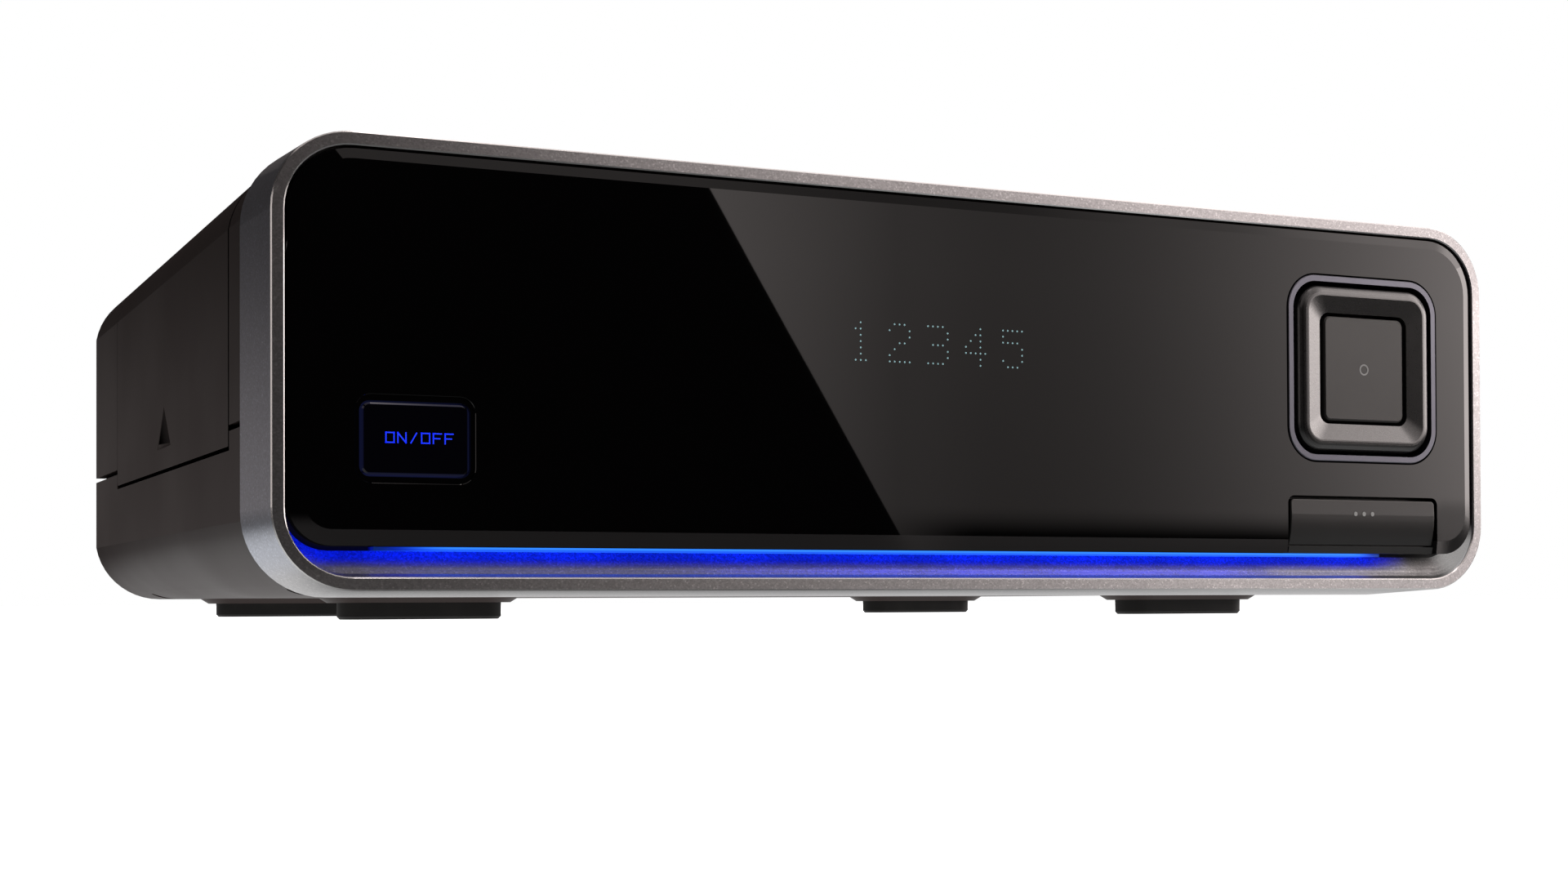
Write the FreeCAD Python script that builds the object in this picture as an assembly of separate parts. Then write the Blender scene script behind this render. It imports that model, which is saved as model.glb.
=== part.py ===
"""Media player with a side-loading hard drive tray.

Millimetres.  X runs to the right seen from the front, Y runs to the back and Z runs up.
The origin is the centre of the bounding box's underside, on the surface that the feet stand on.
"""
import FreeCAD
import Part
import math
import os

V = FreeCAD.Vector

# ---------------------------------------------------------------------------------------------
# Driving dimensions.  A pair is (along X, along Z) unless its comment says otherwise.
# ---------------------------------------------------------------------------------------------
# Overall case
case_width = 283.0            # rear edge of the front frame, the widest place
case_depth = 227.0            # face of the front frame to the rear edge of the shells
case_height = 90.2            # standing surface to the top
ground_gap = 4.5              # standing surface to the underside of the frame
wall = 2.4                    # shell wall
shell_inset = 0.3             # shells sit this much inside the frame's outline
shell_corner = 17.0           # shell corner radius
crease = 0.25                 # how far the corner arcs would bulge past the flat sides
seam_z = 37.3                 # middle of the seam between base and cover
seam_width = 1.2              # open groove along the seam
tongue = 1.4                  # thickness of the lips that close a seam from inside
tongue_rise = 4.4             # how far the base's tongue stands above its edge
tongue_root = 6.0             # how far the tongue is bonded below the edge
lip_step = 0.8                # the front lip sits this much inside the shell's inner face
lip_reach = 5.6               # how far the front lip runs forward into the frame
lip_depth = 3.0               # how far the front lip runs back inside the shell

# How pieces meet
past = 1.0                    # how far a cutting shape runs past what it cuts
bond = 0.5                    # how far shapes that become one piece run into each other
sliding_fit = 0.05            # a block that is pushed into its place
loose_fit = 0.3               # a piece that drops into its place
screw_clearance = 0.2         # a screw through a hole without thread

# Front frame
frame_depth = 22.6
frame_flare = 1.1             # the frame grows by this much towards its rear edge
frame_corner = 16.0           # corner radius at the rear edge
frame_rim = 2.5               # width of the face
frame_edge = 0.24             # bright chamfers beside the face
rear_groove = 0.6             # gap between the frame and the shells
ramp_depth = 5.0              # dished ramp under the panel
ramp_rise = 4.9
ramp_lip = 1.5                # thickness behind the ramp's top
ramp_corner = 8.5             # lower corner radius at the ramp's top
ramp_draft = 0.2              # the opening narrows by this much along the ramp
ramp_steps = 6
cavity_side = 0.2             # the space behind the rim is wider than the opening, each side
cavity_end = 0.3              # and taller, above and below
cavity_turn = 0.4             # and its corner radius is larger

# Front panel and the light under it
panel_gap = 0.5               # panel to frame
panel_thick = 3.1
panel_recess = 0.1            # panel face behind the frame face
panel_bevel = 1.9
panel_bevel_low = 3.0         # wider bevel along the lower edge
panel_bevel_depth = 0.4
panel_corner = 12.2
panel_corner_low = 8.0        # the two lower corners are tighter
light_slot = 0.8              # height of the light slot over the ramp
light_left = 121.0            # the slot's lamps reach this far left and right of the middle
light_right = 113.0
light_proud = 1.4             # how far the guide reaches over the ramp
led_count = 12
lamp_half = (1.6, 0.7)
lamp_proud = 0.7
led_board_gap = 0.2           # LED board to front board
led_board_thick = 1.2
led_board_rise = 0.6          # LED board above the cavity's floor
led_board_over = 1.6          # LED board above the panel's lower edge
led_board_spare = 2.0         # LED board past the last lamp

# Panel carrier
carrier_thick = 2.0
carrier_rib = 2.0
rib_inset = (0.9, 0.7)        # rib inside the panel's outline
window_gap = 0.5
post_radius = 3.0
post_inset = 9.5              # board posts inside the cavity's sides
post_inset_low = 8.0          # board posts above the panel's lower edge
post_inset_high = 7.5
middle_posts = (-0.3, 0.35)   # places of the two middle posts between the centre and a side
post_thread = 5.0
led_post_radius = 2.2
led_post_inset = 4.0          # LED posts inside the ends of the lamps
led_post_rise = 2.6
nav_way_half = 20.0           # square way through the carrier behind the navigation ring
option_way_inset = 4.0
option_way_low = 3.2
option_way_high = 1.4
ear_inner = 16.3              # pivot ears, measured from the middle of the navigation ring
ear_outer = 20.5
ear_half = 3.0
ear_front = 1.6               # ear in front of the pivot

# Controls, placed from the panel's ends and lower edge
power_size = (20.2, 13.2)
power_from_left = 27.6        # case side to the middle of the power button
power_z = 33.4
power_corner = 1.6
power_front = 0.25            # button face behind the frame face
power_edge = (0.35, 0.25)     # chamfer: across and deep
power_rim = (0.8, 1.1)        # dark ledge round the button
power_rim_depth = 0.5
power_rim_corner = 3.0
power_rim_edge = 0.12
nav_from_right = 35.7
nav_z = 55.4
bezel_half = (21.35, 21.15)
bezel_width = 1.65
bezel_corner = 8.0
bezel_fit = 0.1
bezel_groove = 0.3            # dark line round the bezel
bezel_groove_depth = 1.0
bezel_edge = 0.15
bezel_proud = 0.1
nav_foot_half = 18.8
nav_foot_corner = 6.8
nav_crest_half = 16.5
nav_crest_corner = 4.0
nav_crest_round = 2.1         # rounding from the crest to the ring's outside
nav_crest_turn = 66.0         # degrees that the rounding turns through
nav_crest_steps = 5
nav_hole_half = (12.4, 12.5)
nav_hole_corner = 2.4
nav_hole_rim = -0.1           # rim of the hole behind the frame face
nav_proud = 1.2               # crest of the navigation ring in front of the frame face
nav_flank = 2.6               # depth of the ring's sloping outside
nav_back = 4.6                # back of the ring's skirt
nav_post_radius = 1.2
nav_post_inset = 1.7          # posts inside the ring's foot
nav_post_offset = 7.0         # posts beside the pivot lugs
lug_inner = 16.0              # pivot lugs, measured from the middle of the ring
lug_outer = 18.0
lug_half = 2.5
lug_back = 1.6                # lug behind the pivot
gimbal_outer = 15.6
gimbal_inner = 14.0
gimbal_half = 1.3             # half the gimbal's depth
gimbal_pin_side = 19.5
gimbal_pin_end = 17.8
ok_half = (11.35, 11.8)
ok_corner = 1.8
ok_proud = 0.25
ok_flange = 13.2
option_half_width = 20.6
option_height = 12.1
option_lip = 1.5              # height of the lip along the button's lower edge
option_groove = 0.4
option_curve = 1.05           # how far the button's face curves back above its lip
option_curve_height = 7.2
option_lean = 0.15            # the face leans back by this much at its top
option_corner = 1.0           # the two upper corners
option_edge = 0.3             # rounding round the face
option_lip_recess = 0.7
option_stem_rise = 1.0        # stem above the middle of the button
option_back_recess = 0.7      # the groove stops this far in front of the button's back
option_flange_low = 1.2
option_flange_high = 2.4
button_gap = 0.35             # power and option buttons to the panel
option_gap = 0.75
flange_reach = 1.6            # a button's flange stands this far past its cap
flange_room = 0.8
flange_step = 0.7             # flange behind the panel's back
flange_back = 2.2
press_travel = 0.7
press_spare = 0.5             # free depth behind a stem tip that is pressed in
pivot_gap = 0.7               # carrier's front to the pivots of the navigation pad
pin_radius = 1.0
pin_clearance = 0.05

# Front electronics
front_board_y = 14.0
front_board_side = 5.5        # board inside the cavity's sides
front_board_low = 3.5
front_board_high = 3.0
board_thick = 1.6
switch_size = 6.0
switch_height = 3.6
stem_radius = 2.0
stem_tip_radius = 1.5
stem_tip_length = 0.5         # step between the stem and its tip
stem_gap = 0.9                # stem's shoulder in front of the switch
stem_entry = 0.8              # how deep the tip stands in the switch
stem_tip_gap = 0.3
display_size = (100.0, 6.0, 30.0)
display_z = 56.9
display_gap = 1.0             # display behind the carrier's front
display_tip_radius = 1.5      # sealed exhaust tip at the display's end
display_tip_length = 4.0
display_pins = 16
display_pin_half = 0.3
display_pin_inset = 6.0
infrared_offset = 46.0        # infrared eye to the left of the navigation ring
infrared_rise = 16.0
infrared_way = 4.0
infrared_half = (3.0, 3.5)
infrared_depth = 3.0
infrared_eye = 2.4
infrared_eye_depth = 4.6

# Flat cable from the front board to the main board
ribbon_x = -20.0
ribbon_half = 9.0
ribbon_thick = 0.6
ribbon_top = 34.0
ribbon_turn = 6.0             # bend radius at mid thickness
ribbon_rise = 3.0             # cable above the main board at its socket
ribbon_straight = 6.0
socket_spare = 2.0            # cable sockets wider than the cable, each side
socket_half_height = 1.6
socket_depth = 3.2
socket_length = 5.0
socket_slot = 0.5
socket_cheek = 0.3            # cable to the socket's cheek
socket_reach = 2.0            # depth of the lower socket's slot
cable_entry = 1.2
cable_end_gap = 0.2

# Hard drive
drive_size = (147.0, 101.6, 26.1)
drive_lid = 2.5
lid_sheet = 1.2
lid_corner = 6.0
lid_inset = 1.0
lid_step = 16.0               # raised part inside the drive's ends
lid_step_side = 8.0
lid_step_corner = 14.0
lid_step_shift = 8.0
lid_ring = 24.0               # shallow ring pressed over the spindle
lid_ring_width = 1.5
lid_ring_depth = 0.6
lid_ring_shift = 20.0
lid_screw_inset = 6.0
lid_screw_side = 5.0
lid_screw_depth = 6.0
lid_screw_head = 0.9
drive_hole_z = 6.35           # side screws above the drive's underside
drive_hole_places = (28.5, 130.1)   # side screws from the connector's end
drive_screw_head = 2.6
drive_screw_head_height = 0.5
drive_screw_length = 4.0
drive_hole_depth = 5.0
drive_pocket = (8.0, 6.0, 10.0)     # board pocket inside the casting: front, connector end, sides
drive_pocket_depth = 3.2
drive_board_gap = 0.4
drive_board_thick = 1.6
drive_chip_half = 7.0
drive_chip_height = 1.0
drive_chip_places = ((40.0, 10.0), (66.0, -18.0))   # from the connector's end, and beside the middle
drive_socket_half = 21.2
drive_socket_depth = 6.4
drive_socket_height = (0.4, 7.8)    # underside and top above the drive's underside
drive_slot_half = 19.4
drive_slot = (2.2, 6.0)
plug_half = 22.0
plug_half_height = 3.4
plug_face = 1.0               # plug to drive
blade_half = 18.9
blade_half_height = 1.3
blade_reach = 4.6             # the plug's blade inside the drive's socket
plug_middle = 4.1             # plug's middle above the drive's underside

# Drive tray and its rails
tray_sheet = 1.2
tray_side_gap = 0.3           # drive to tray wall
tray_flange = 3.0
tray_flange_rise = 5.0        # flange above the tray plate's underside
tray_wall_height = 14.0       # tray wall above the drive's underside
tray_bump = 0.4               # drive above the tray plate
tray_bump_radius = 4.0
tray_bump_inset = (25.0, 10.8)      # bumps inside the drive's ends and sides
tray_end_gap = 1.0
drive_front_gap = 4.8         # drive to the inside of the door
rail_gap = 0.4
rail_side_gap = 0.9           # tray wall to rail
rail_rise = 1.5
rail_height = 9.0
rail_front = 8.0
rail_end = 3.0
rail_stop = 0.8
rail_outer = 1.75             # rail behind the flange's gap
rail_screw_rise = 6.3
rail_thread = 3.4
rail_screw_front = 24.0
rail_screw_end = 16.0
tray_z = 42.0                 # underside of the tray plate
tray_slots = 5
tray_slot_pitch = 16.0
tray_slot_start = 36.0
tray_slot_half = (1.5, 25.0)  # across and along
door_screw_inset = 9.0
door_screw_drop = 5.0
drive_notch = 4.0             # flange notch beside a drive screw

# Tray door
door_front = 35.3             # frame face to the door's front edge
door_width = 150.7
door_z = 33.3                 # lower edge of the door
door_chamfer = 0.5
door_top_reach = 31.0         # how far the door runs in over the top
door_gap = 0.35
door_corner = 2.0
door_boss = 3.4
door_way = 12.0               # clear way for the tray inside the shells' inner face
scoop_width = 20.6
scoop_height = 10.4
scoop_depth = 1.7
scoop_z = 38.7
scoop_over = 0.2              # the scoop's sizes are taken this far outside the door's face
scoop_shift = 2.0             # scoop behind the door's middle

# Drive cage
cage_sheet = 1.2
cage_z = 38.0
cage_wall = 13.0              # cage walls above the tray's flange
cage_front = 5.0
cage_end = 7.0
cage_post = 4.0
cage_post_front = 18.0
cage_post_end = 4.0
cage_post_side = 6.0
cage_thread = 9.0
cage_screw_length = 7.0
cage_slots = 9
cage_slot_pitch = 12.0
cage_slot_start = 24.0
cage_slot_half = (1.5, 30.0)  # across and along

# Main board
floor_gap = 7.8               # base floor to the underside of the main board
board_from_left = 46.5
board_from_right = 16.0
board_from_front = 24.8
board_from_rear = 6.0
standoff_radius = 3.0
standoff_inset = (8.0, 20.0, 8.0, 18.0)   # inside the left, right, front and rear edges
cage_post_hole = 5.0
case_post_hole = 6.0
chip_x = 72.0
chip_depth = 118.0
chip_half = 13.5
chip_height = 1.0
die_half = 8.0
die_height = 1.2
sink_half = 22.0
sink_plate = 3.0
sink_height = 15.0
sink_fin = 1.2
sink_fins = 11
memory_half = (6.0, 4.5)      # across and along
memory_height = 1.2
memory_offset = 9.0
memory_rows = (34.0, 46.0)    # in front of the processor
can_radius = 4.0
can_height = 11.0
can_edge = 0.5
can_places = ((118.0, 150.0), (118.0, 160.0), (118.0, 170.0), (104.0, 150.0), (104.0, 160.0),
              (-84.0, 186.0))       # (x, depth)
cell_radius = 10.0
cell_thick = 3.2
cell_depth = 80.0
cell_fit = 0.1
holder_wall = 1.6
holder_floor = 1.2
holder_cover = 0.75           # share of the cell's thickness that the holder's wall covers
cell_clearance = 18.0         # middle of the cell to the upright board
upright_gap = 11.0            # drive to the upright board
upright_half = 27.0
upright_top = 14.0            # upright board above the drive's underside
upright_foot = 2.4            # upright board above the main board
upright_slot_wall = 2.6
upright_slot_height = 9.0
upright_slot_half = 28.0
upright_slot_end = 0.2
upright_slot_fit = 0.1
connector_offset = 15.0       # plug in front of the tray's middle

# Rear panel, sockets and fan
rear_inset = 4.0              # rear edge of the shells to the rear panel
rear_sheet = 1.2
rear_sheet_gap = 0.25
socket_face = 0.5             # sockets stand this much behind the rear panel
socket_gap = 0.4
power_socket_x = -80.0
power_socket_size = (9.0, 14.0, 11.0)     # width, depth and height of each socket
power_socket_hole = (3.2, 9.5)            # radius and depth
power_socket_z = 6.5
power_pin = (1.0, 0.8)                    # radius, and how far it stands back
power_cutout = 9.4
video_socket_x = -56.0
video_socket_size = (15.0, 12.0, 6.2)
video_cavity = (7.1, 0.6, 5.6, 9.0)       # half width, low, high and depth of a cavity
video_tongue = (5.6, 2.8, 3.4, 9.5)
network_socket_x = -30.0
network_socket_size = (16.0, 21.0, 13.5)
network_cavity = (5.9, 3.0, 11.4, 13.0)
network_latch = (3.2, 1.2, 3.1, 13.0)
bus_socket_x = -2.0
bus_socket_size = (13.6, 17.5, 15.8)
bus_levels = (1.2, 9.2)
bus_cavity = (6.25, 5.3, 10.0)            # half width, height and depth
bus_tongue = (5.4, 1.0, 10.5)
bus_tongue_inset = 1.2
optical_socket_x = 24.0
optical_socket_size = (9.8, 13.0, 10.0)
optical_cavity = (3.2, 2.0, 8.4, 8.0)
phono_x = (46.0, 62.0, 78.0)
phono_z = 7.0                 # above the main board
jack_proud = 4.2              # phono jacks behind the rear edge
jack_radius = 4.1
jack_bore = 1.7
jack_bore_depth = 9.0
jack_collar = 4.9             # the collar that stands in the rear panel's hole
jack_collar_proud = 0.6
jack_body_half = 5.0
jack_body_depth = 11.0
jack_body_top = 5.5
fan_size = 40.0
fan_depth = 10.0
fan_corner = 2.5
fan_bore = 38.0
fan_hole_pitch = 32.0
fan_hole = 1.8
fan_z = 62.0
fan_from_right = 46.5
fan_hub = 8.6
fan_plate = 1.4
fan_strut_half = 1.2
fan_strut_root = 6.0
fan_struts = 3
fan_strut_angle = 30.0        # first strut from upright
fan_sleeve = 2.8
fan_sleeve_depth = 5.0
cup_radius = 8.4
cup_wall = 1.5
cup_span = (1.9, 8.6)         # front and back of the rotor's cup behind the fan's front
cup_floor = 1.2
shaft_span = (1.0, 8.0)
blade_count = 7
blade_thick = 1.0
blade_span = (2.2, 8.4)
blade_twist = 38.0
blade_tip_gap = 0.7
slot_width = 2.4              # ventilation slots
grille_pitch = 4.0
grille_arms = 4               # slots each side of the fan's middle
vent_pitch = 6.0
vent_count = 18
vent_start = 36.0
vent_rows = (12.0, 29.0)      # above the seam
vent_half = 7.0
floor_vent_count = 16
floor_vent_start = -60.0
floor_vent_pitch = 8.0
floor_vent_span = (100.0, 126.0)

# Posts and lugs that hold the shells together
case_post_inset = 10.8
case_post_front = 6.8
case_post_rear = 10.0
cover_post_radius = 3.6
base_post_radius = 4.4
post_gap = 0.4                # cover post above the base post
screw_well = 6.0              # depth of the screw head's well above the floor
well_gap = 0.4
rear_lug_half = 4.0
rear_lug_depth = 10.0
rear_lug_inset = 8.0
rear_lug_drop = 10.0          # upper lugs below the ceiling
rear_lug_rise = 8.0           # lower lugs above the floor
rear_lug_thread = 8.5

# Feet
foot_width = 35.0
foot_length = 10.0
foot_height = 3.5
foot_corner = 4.6
foot_chamfer = 0.6
foot_x = 96.9
foot_front = 59.4             # middle of the front feet behind the frame face
foot_rear = 196.0
pad_margin = 2.0
pad_slope = 2.6

# Fasteners
screw_radius = 1.5
screw_head_radius = 2.8
screw_head = 1.8
thread_gap = 0.05
post_screw_thread = 12.0      # thread in a cover post
sheet_screw_length = 8.0
small_radius = 1.1
small_head_radius = 2.1
small_head = 1.3
small_length = 5.5

# ---------------------------------------------------------------------------------------------
# Derived places
# ---------------------------------------------------------------------------------------------
half_w = case_width / 2
overall_depth = nav_proud + case_depth + jack_proud
face_y = nav_proud - overall_depth / 2

body_half = half_w - shell_inset
body_low = ground_gap + shell_inset
body_high = case_height - shell_inset
body_front = frame_depth + rear_groove
floor_z = body_low + wall
ceiling_z = body_high - wall
inner_half = body_half - wall
base_top = seam_z - seam_width / 2
cover_bottom = seam_z + seam_width / 2

rim_half = half_w - frame_flare - frame_rim
rim_low = ground_gap + frame_flare + frame_rim
rim_high = case_height - frame_flare - frame_rim
rim_corner = frame_corner - frame_flare - frame_rim
panel_half = rim_half - panel_gap
panel_low = rim_low + ramp_rise + light_slot
panel_high = rim_high - panel_gap
panel_back = panel_recess + panel_thick
throat = ramp_depth + ramp_lip
carrier_back = throat + carrier_thick
cavity_half = rim_half + cavity_side
cavity_low = rim_low - cavity_end
cavity_high = rim_high + cavity_end
cavity_corner = rim_corner + cavity_turn

power_x = -half_w + power_from_left
nav_x = half_w - nav_from_right
option_z = panel_low + option_height / 2 + option_stem_rise
pivot_y = throat + pivot_gap
infrared_x = nav_x - infrared_offset
infrared_z = panel_low + infrared_rise
front_board_back = front_board_y + board_thick
switch_y = front_board_y - switch_height
led_board_back = front_board_y - led_board_gap
led_board_front = led_board_back - led_board_thick
lamp_front = led_board_front - lamp_proud

board_z = floor_z + floor_gap
board_top = board_z + board_thick
rear_panel_y = case_depth - rear_inset - rear_sheet
rear_face = rear_panel_y + rear_sheet
socket_back = rear_face + socket_face
jack_root = rear_face + jack_collar_proud
jack_end = case_depth + jack_proud
board_rear = rear_panel_y - board_from_rear
board_left = -half_w + board_from_left
board_right = half_w - board_from_right
board_front = body_front + board_from_front
ribbon_low = board_top + ribbon_rise
fan_x = half_w - fan_from_right
fan_front = rear_panel_y - fan_depth

door_rear = door_front + door_width
tray_y = door_front + door_width / 2
door_inner_x = -inner_half
drive_x = door_inner_x + drive_front_gap
drive_end = drive_x + drive_size[0]
drive_half = drive_size[1] / 2
drive_z = tray_z + tray_sheet + tray_bump
drive_top = drive_z + drive_size[2]
lid_z = drive_top - drive_lid
tray_half = drive_half + tray_side_gap + tray_sheet
flange_half = tray_half + tray_flange
rail_inner = tray_half + rail_side_gap
cage_half = flange_half + rail_gap + rail_outer
tray_end = drive_end - tray_end_gap
tray_front_top = body_high - shell_corner
rail_z = tray_z + rail_rise
flange_z = tray_z + tray_flange_rise
sata_board_x = drive_end + upright_gap
connector_y = tray_y - connector_offset
cell_x = sata_board_x + board_thick + cell_clearance


# ---------------------------------------------------------------------------------------------
# Shape helpers.  Depths are measured back from the face of the front frame.
# ---------------------------------------------------------------------------------------------
def at(depth):
    return face_y + depth


def box(x0, x1, d0, d1, z0, z1):
    return Part.makeBox(x1 - x0, d1 - d0, z1 - z0, V(x0, at(d0), z0))


def rod(radius, start, end):
    run = end - start
    return Part.makeCylinder(radius, run.Length, start, run)


def rod_y(radius, x, z, d0, d1):
    return rod(radius, V(x, at(d0), z), V(x, at(d1), z))


def rod_z(radius, x, depth, z0, z1):
    return rod(radius, V(x, at(depth), z0), V(x, at(depth), z1))


def rod_x(radius, depth, z, x0, x1):
    return rod(radius, V(x0, at(depth), z), V(x1, at(depth), z))


def join(shapes):
    first = shapes[0]
    if len(shapes) == 1:
        return first
    return first.fuse(shapes[1:]).removeSplitter()


def group(shapes):
    return Part.makeCompound(shapes)


def grid(xs, ys):
    return [(x, y) for x in xs for y in ys]


def outline(half, low, high, radius, depth, bulge=0.0, middle=0.0, low_radius=None):
    """A rounded rectangle in the plane at depth.  A bulge starts each arc with a slight crease."""
    y = at(depth)
    edges = []
    corners = []
    for side_x, side_z in ((1, 1), (-1, 1), (-1, -1), (1, -1)):
        turn = low_radius if (low_radius and side_z < 0) else radius
        centre_z = (high - turn) if side_z > 0 else (low + turn)
        centre = V(middle + side_x * (half + bulge - turn), y, centre_z)
        angle = math.acos((turn - bulge) / turn)
        diagonal = (angle + math.pi / 2) / 2
        on_side = V(middle + side_x * half, y, centre.z + side_z * turn * math.sin(angle))
        on_end = V(centre.x, y, centre.z + side_z * turn)
        through = V(centre.x + side_x * turn * math.cos(diagonal), y,
                    centre.z + side_z * turn * math.sin(diagonal))
        if side_x * side_z > 0:
            corners.append((on_side, through, on_end))
        else:
            corners.append((on_end, through, on_side))
    for index, (start, through, end) in enumerate(corners):
        edges.append(Part.Arc(start, through, end).toShape())
        following = corners[(index + 1) % 4][0]
        edges.append(Part.LineSegment(end, following).toShape())
    return Part.Wire(edges)


def prism(half, low, high, radius, d0, d1, bulge=0.0, low_radius=None):
    face = Part.Face(outline(half, low, high, radius, d0, bulge, 0.0, low_radius))
    return face.extrude(V(0, d1 - d0, 0))


def shell_prism(inset, d0, d1):
    return prism(body_half - inset, body_low + inset, body_high - inset,
                 shell_corner - inset, d0, d1, crease)


def rounded(middle_x, middle_z, sections):
    """A ruled solid through rounded rectangles, each (depth, half width, half height, radius)."""
    wires = []
    for depth, across, up, radius in sections:
        wires.append(outline(across, middle_z - up, middle_z + up, radius, depth, 0.0, middle_x))
    return Part.makeLoft(wires, True, True)


def rounded_plate_z(middle_x, middle_depth, sections):
    """A ruled solid through rounded rectangles lying flat, each (z, half x, half y, radius)."""
    wires = []
    for z, across, along, radius in sections:
        corners = []
        for side_x, side_y in ((1, 1), (-1, 1), (-1, -1), (1, -1)):
            centre = V(middle_x + side_x * (across - radius),
                       at(middle_depth) + side_y * (along - radius), z)
            on_x = V(centre.x + side_x * radius, centre.y, z)
            on_y = V(centre.x, centre.y + side_y * radius, z)
            part = radius * math.sqrt(0.5)
            through = V(centre.x + side_x * part, centre.y + side_y * part, z)
            if side_x * side_y > 0:
                corners.append((on_x, through, on_y))
            else:
                corners.append((on_y, through, on_x))
        edges = []
        for index, (start, through, end) in enumerate(corners):
            edges.append(Part.Arc(start, through, end).toShape())
            edges.append(Part.LineSegment(end, corners[(index + 1) % 4][0]).toShape())
        wires.append(Part.Wire(edges))
    return Part.makeLoft(wires, True, True)


def screws_y(places, surface, length, radius, head_radius, head, into=-1):
    """Screws along Y whose heads lie on a surface; into is the side that the shanks run to."""
    made = []
    for x, z in places:
        top = rod_y(head_radius, x, z, surface, surface - into * head)
        shank = rod_y(radius, x, z, surface + into * length, surface - into * head / 2)
        made.append(join([top, shank]))
    return group(made)


def screws_z(places, surface, length, radius, head_radius, head):
    """Screws driven downwards whose heads lie on a surface, at (x, depth)."""
    made = []
    for x, d in places:
        top = rod_z(head_radius, x, d, surface, surface + head)
        shank = rod_z(radius, x, d, surface - length, surface + head / 2)
        made.append(join([top, shank]))
    return group(made)


# ---------------------------------------------------------------------------------------------
# Front frame, panel and what lights them
# ---------------------------------------------------------------------------------------------
def front_frame():
    def outer(depth, inset):
        grow = frame_flare * (1 - depth / frame_depth) + inset
        return outline(half_w - grow, ground_gap + grow, case_height - grow, frame_corner - grow, depth)

    skin = Part.makeLoft([outer(0, frame_edge), outer(frame_edge, 0), outer(frame_depth, 0)], True, True)
    flare = 2 * frame_edge
    throat_wires = [outline(rim_half + flare, rim_low - flare, rim_high + flare,
                            rim_corner + flare, -frame_edge)]
    for step in range(ramp_steps + 1):
        part = step / ramp_steps
        depth = frame_edge + (ramp_depth - frame_edge) * part
        rise = ramp_rise * (1 - math.cos(part * math.pi / 2))
        slim = ramp_draft * part
        low_corner = rim_corner + (ramp_corner - rim_corner) * part
        throat_wires.append(outline(rim_half - slim, rim_low + rise, rim_high - slim,
                                    rim_corner, depth, 0.0, 0.0, low_corner))
    throat_wires.append(outline(rim_half - ramp_draft, rim_low + ramp_rise, rim_high - ramp_draft,
                                rim_corner, throat + bond, 0.0, 0.0, ramp_corner))
    opening = Part.makeLoft(throat_wires, True, True)
    cavity = prism(cavity_half, cavity_low, cavity_high, cavity_corner, throat, frame_depth + past)
    return skin.cut([opening, cavity])


def panel_blank():
    """The panel's outside, bevelled at its front edges."""
    edge = panel_recess + panel_bevel_depth
    body = prism(panel_half, panel_low, panel_high, panel_corner, edge, panel_back, 0.0, panel_corner_low)
    face_wire = outline(panel_half - panel_bevel, panel_low + panel_bevel_low, panel_high - panel_bevel,
                        panel_corner - panel_bevel, panel_recess, 0.0, 0.0, panel_corner_low - panel_bevel)
    edge_wire = outline(panel_half, panel_low, panel_high, panel_corner, edge, 0.0, 0.0, panel_corner_low)
    front = Part.makeLoft([face_wire, edge_wire], True, True)
    return join([body, front])


def option_zone(gap):
    """The option button's outline and a gap round it, open below the panel's lower edge."""
    wire = outline(option_half_width + gap, panel_low - past, panel_low + option_height + gap,
                   option_corner + gap, -past, 0.0, nav_x, bond)
    return Part.Face(wire).extrude(V(0, panel_back + 2 * past, 0))


def power_hole():
    """The power button's hole with the ledge round it."""
    across, up = power_size[0] / 2 + button_gap, power_size[1] / 2 + button_gap
    rim_across, rim_up = across + power_rim[0], up + power_rim[1]
    ledge = panel_recess + power_rim_depth
    rim = rounded(power_x, power_z, [
        (-past, rim_across + past, rim_up + past, power_rim_corner + past),
        (panel_recess, rim_across + power_rim_edge, rim_up + power_rim_edge,
         power_rim_corner + power_rim_edge),
        (panel_recess + power_rim_edge, rim_across, rim_up, power_rim_corner),
        (ledge, rim_across, rim_up, power_rim_corner)])
    hole = rounded(power_x, power_z, [(-past, across, up, power_corner + button_gap),
                                      (panel_back + past, across, up, power_corner + button_gap)])
    return rim.fuse(hole)


def square_hole(half, corner, d0, d1):
    """A straight rounded-square way behind the navigation pad."""
    return rounded(nav_x, nav_z, [(d0, half[0], half[1], corner), (d1, half[0], half[1], corner)])


def front_panel():
    hole = (bezel_half[0] + bezel_fit, bezel_half[1] + bezel_fit)
    nav_hole = square_hole(hole, bezel_corner + bezel_fit, -past, panel_back + past)
    return panel_blank().cut([power_hole(), nav_hole, option_zone(option_gap)])


def nav_bezel():
    def section(depth, inset):
        return (depth, bezel_half[0] - inset, bezel_half[1] - inset, bezel_corner - inset)

    front = -bezel_proud
    ring = rounded(nav_x, nav_z, [
        section(front, bezel_groove + bezel_edge),
        section(front + bezel_edge, bezel_groove),
        section(bezel_groove_depth, bezel_groove),
        section(bezel_groove_depth + bezel_groove, 0),
        section(panel_back, 0)])
    hole = (bezel_half[0] - bezel_width, bezel_half[1] - bezel_width)
    return ring.cut(square_hole(hole, bezel_corner - bezel_width, -past, panel_back + past))


def board_post_places():
    reach = cavity_half - post_inset
    low, high = panel_low + post_inset_low, panel_high - post_inset_high
    return grid((-reach, reach), (low, high)) + [(share * reach, low) for share in middle_posts]


def led_post_places():
    z = cavity_low + led_post_rise
    return [(-light_left + led_post_inset, z), (0, z), (light_right - led_post_inset, z)]


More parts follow.
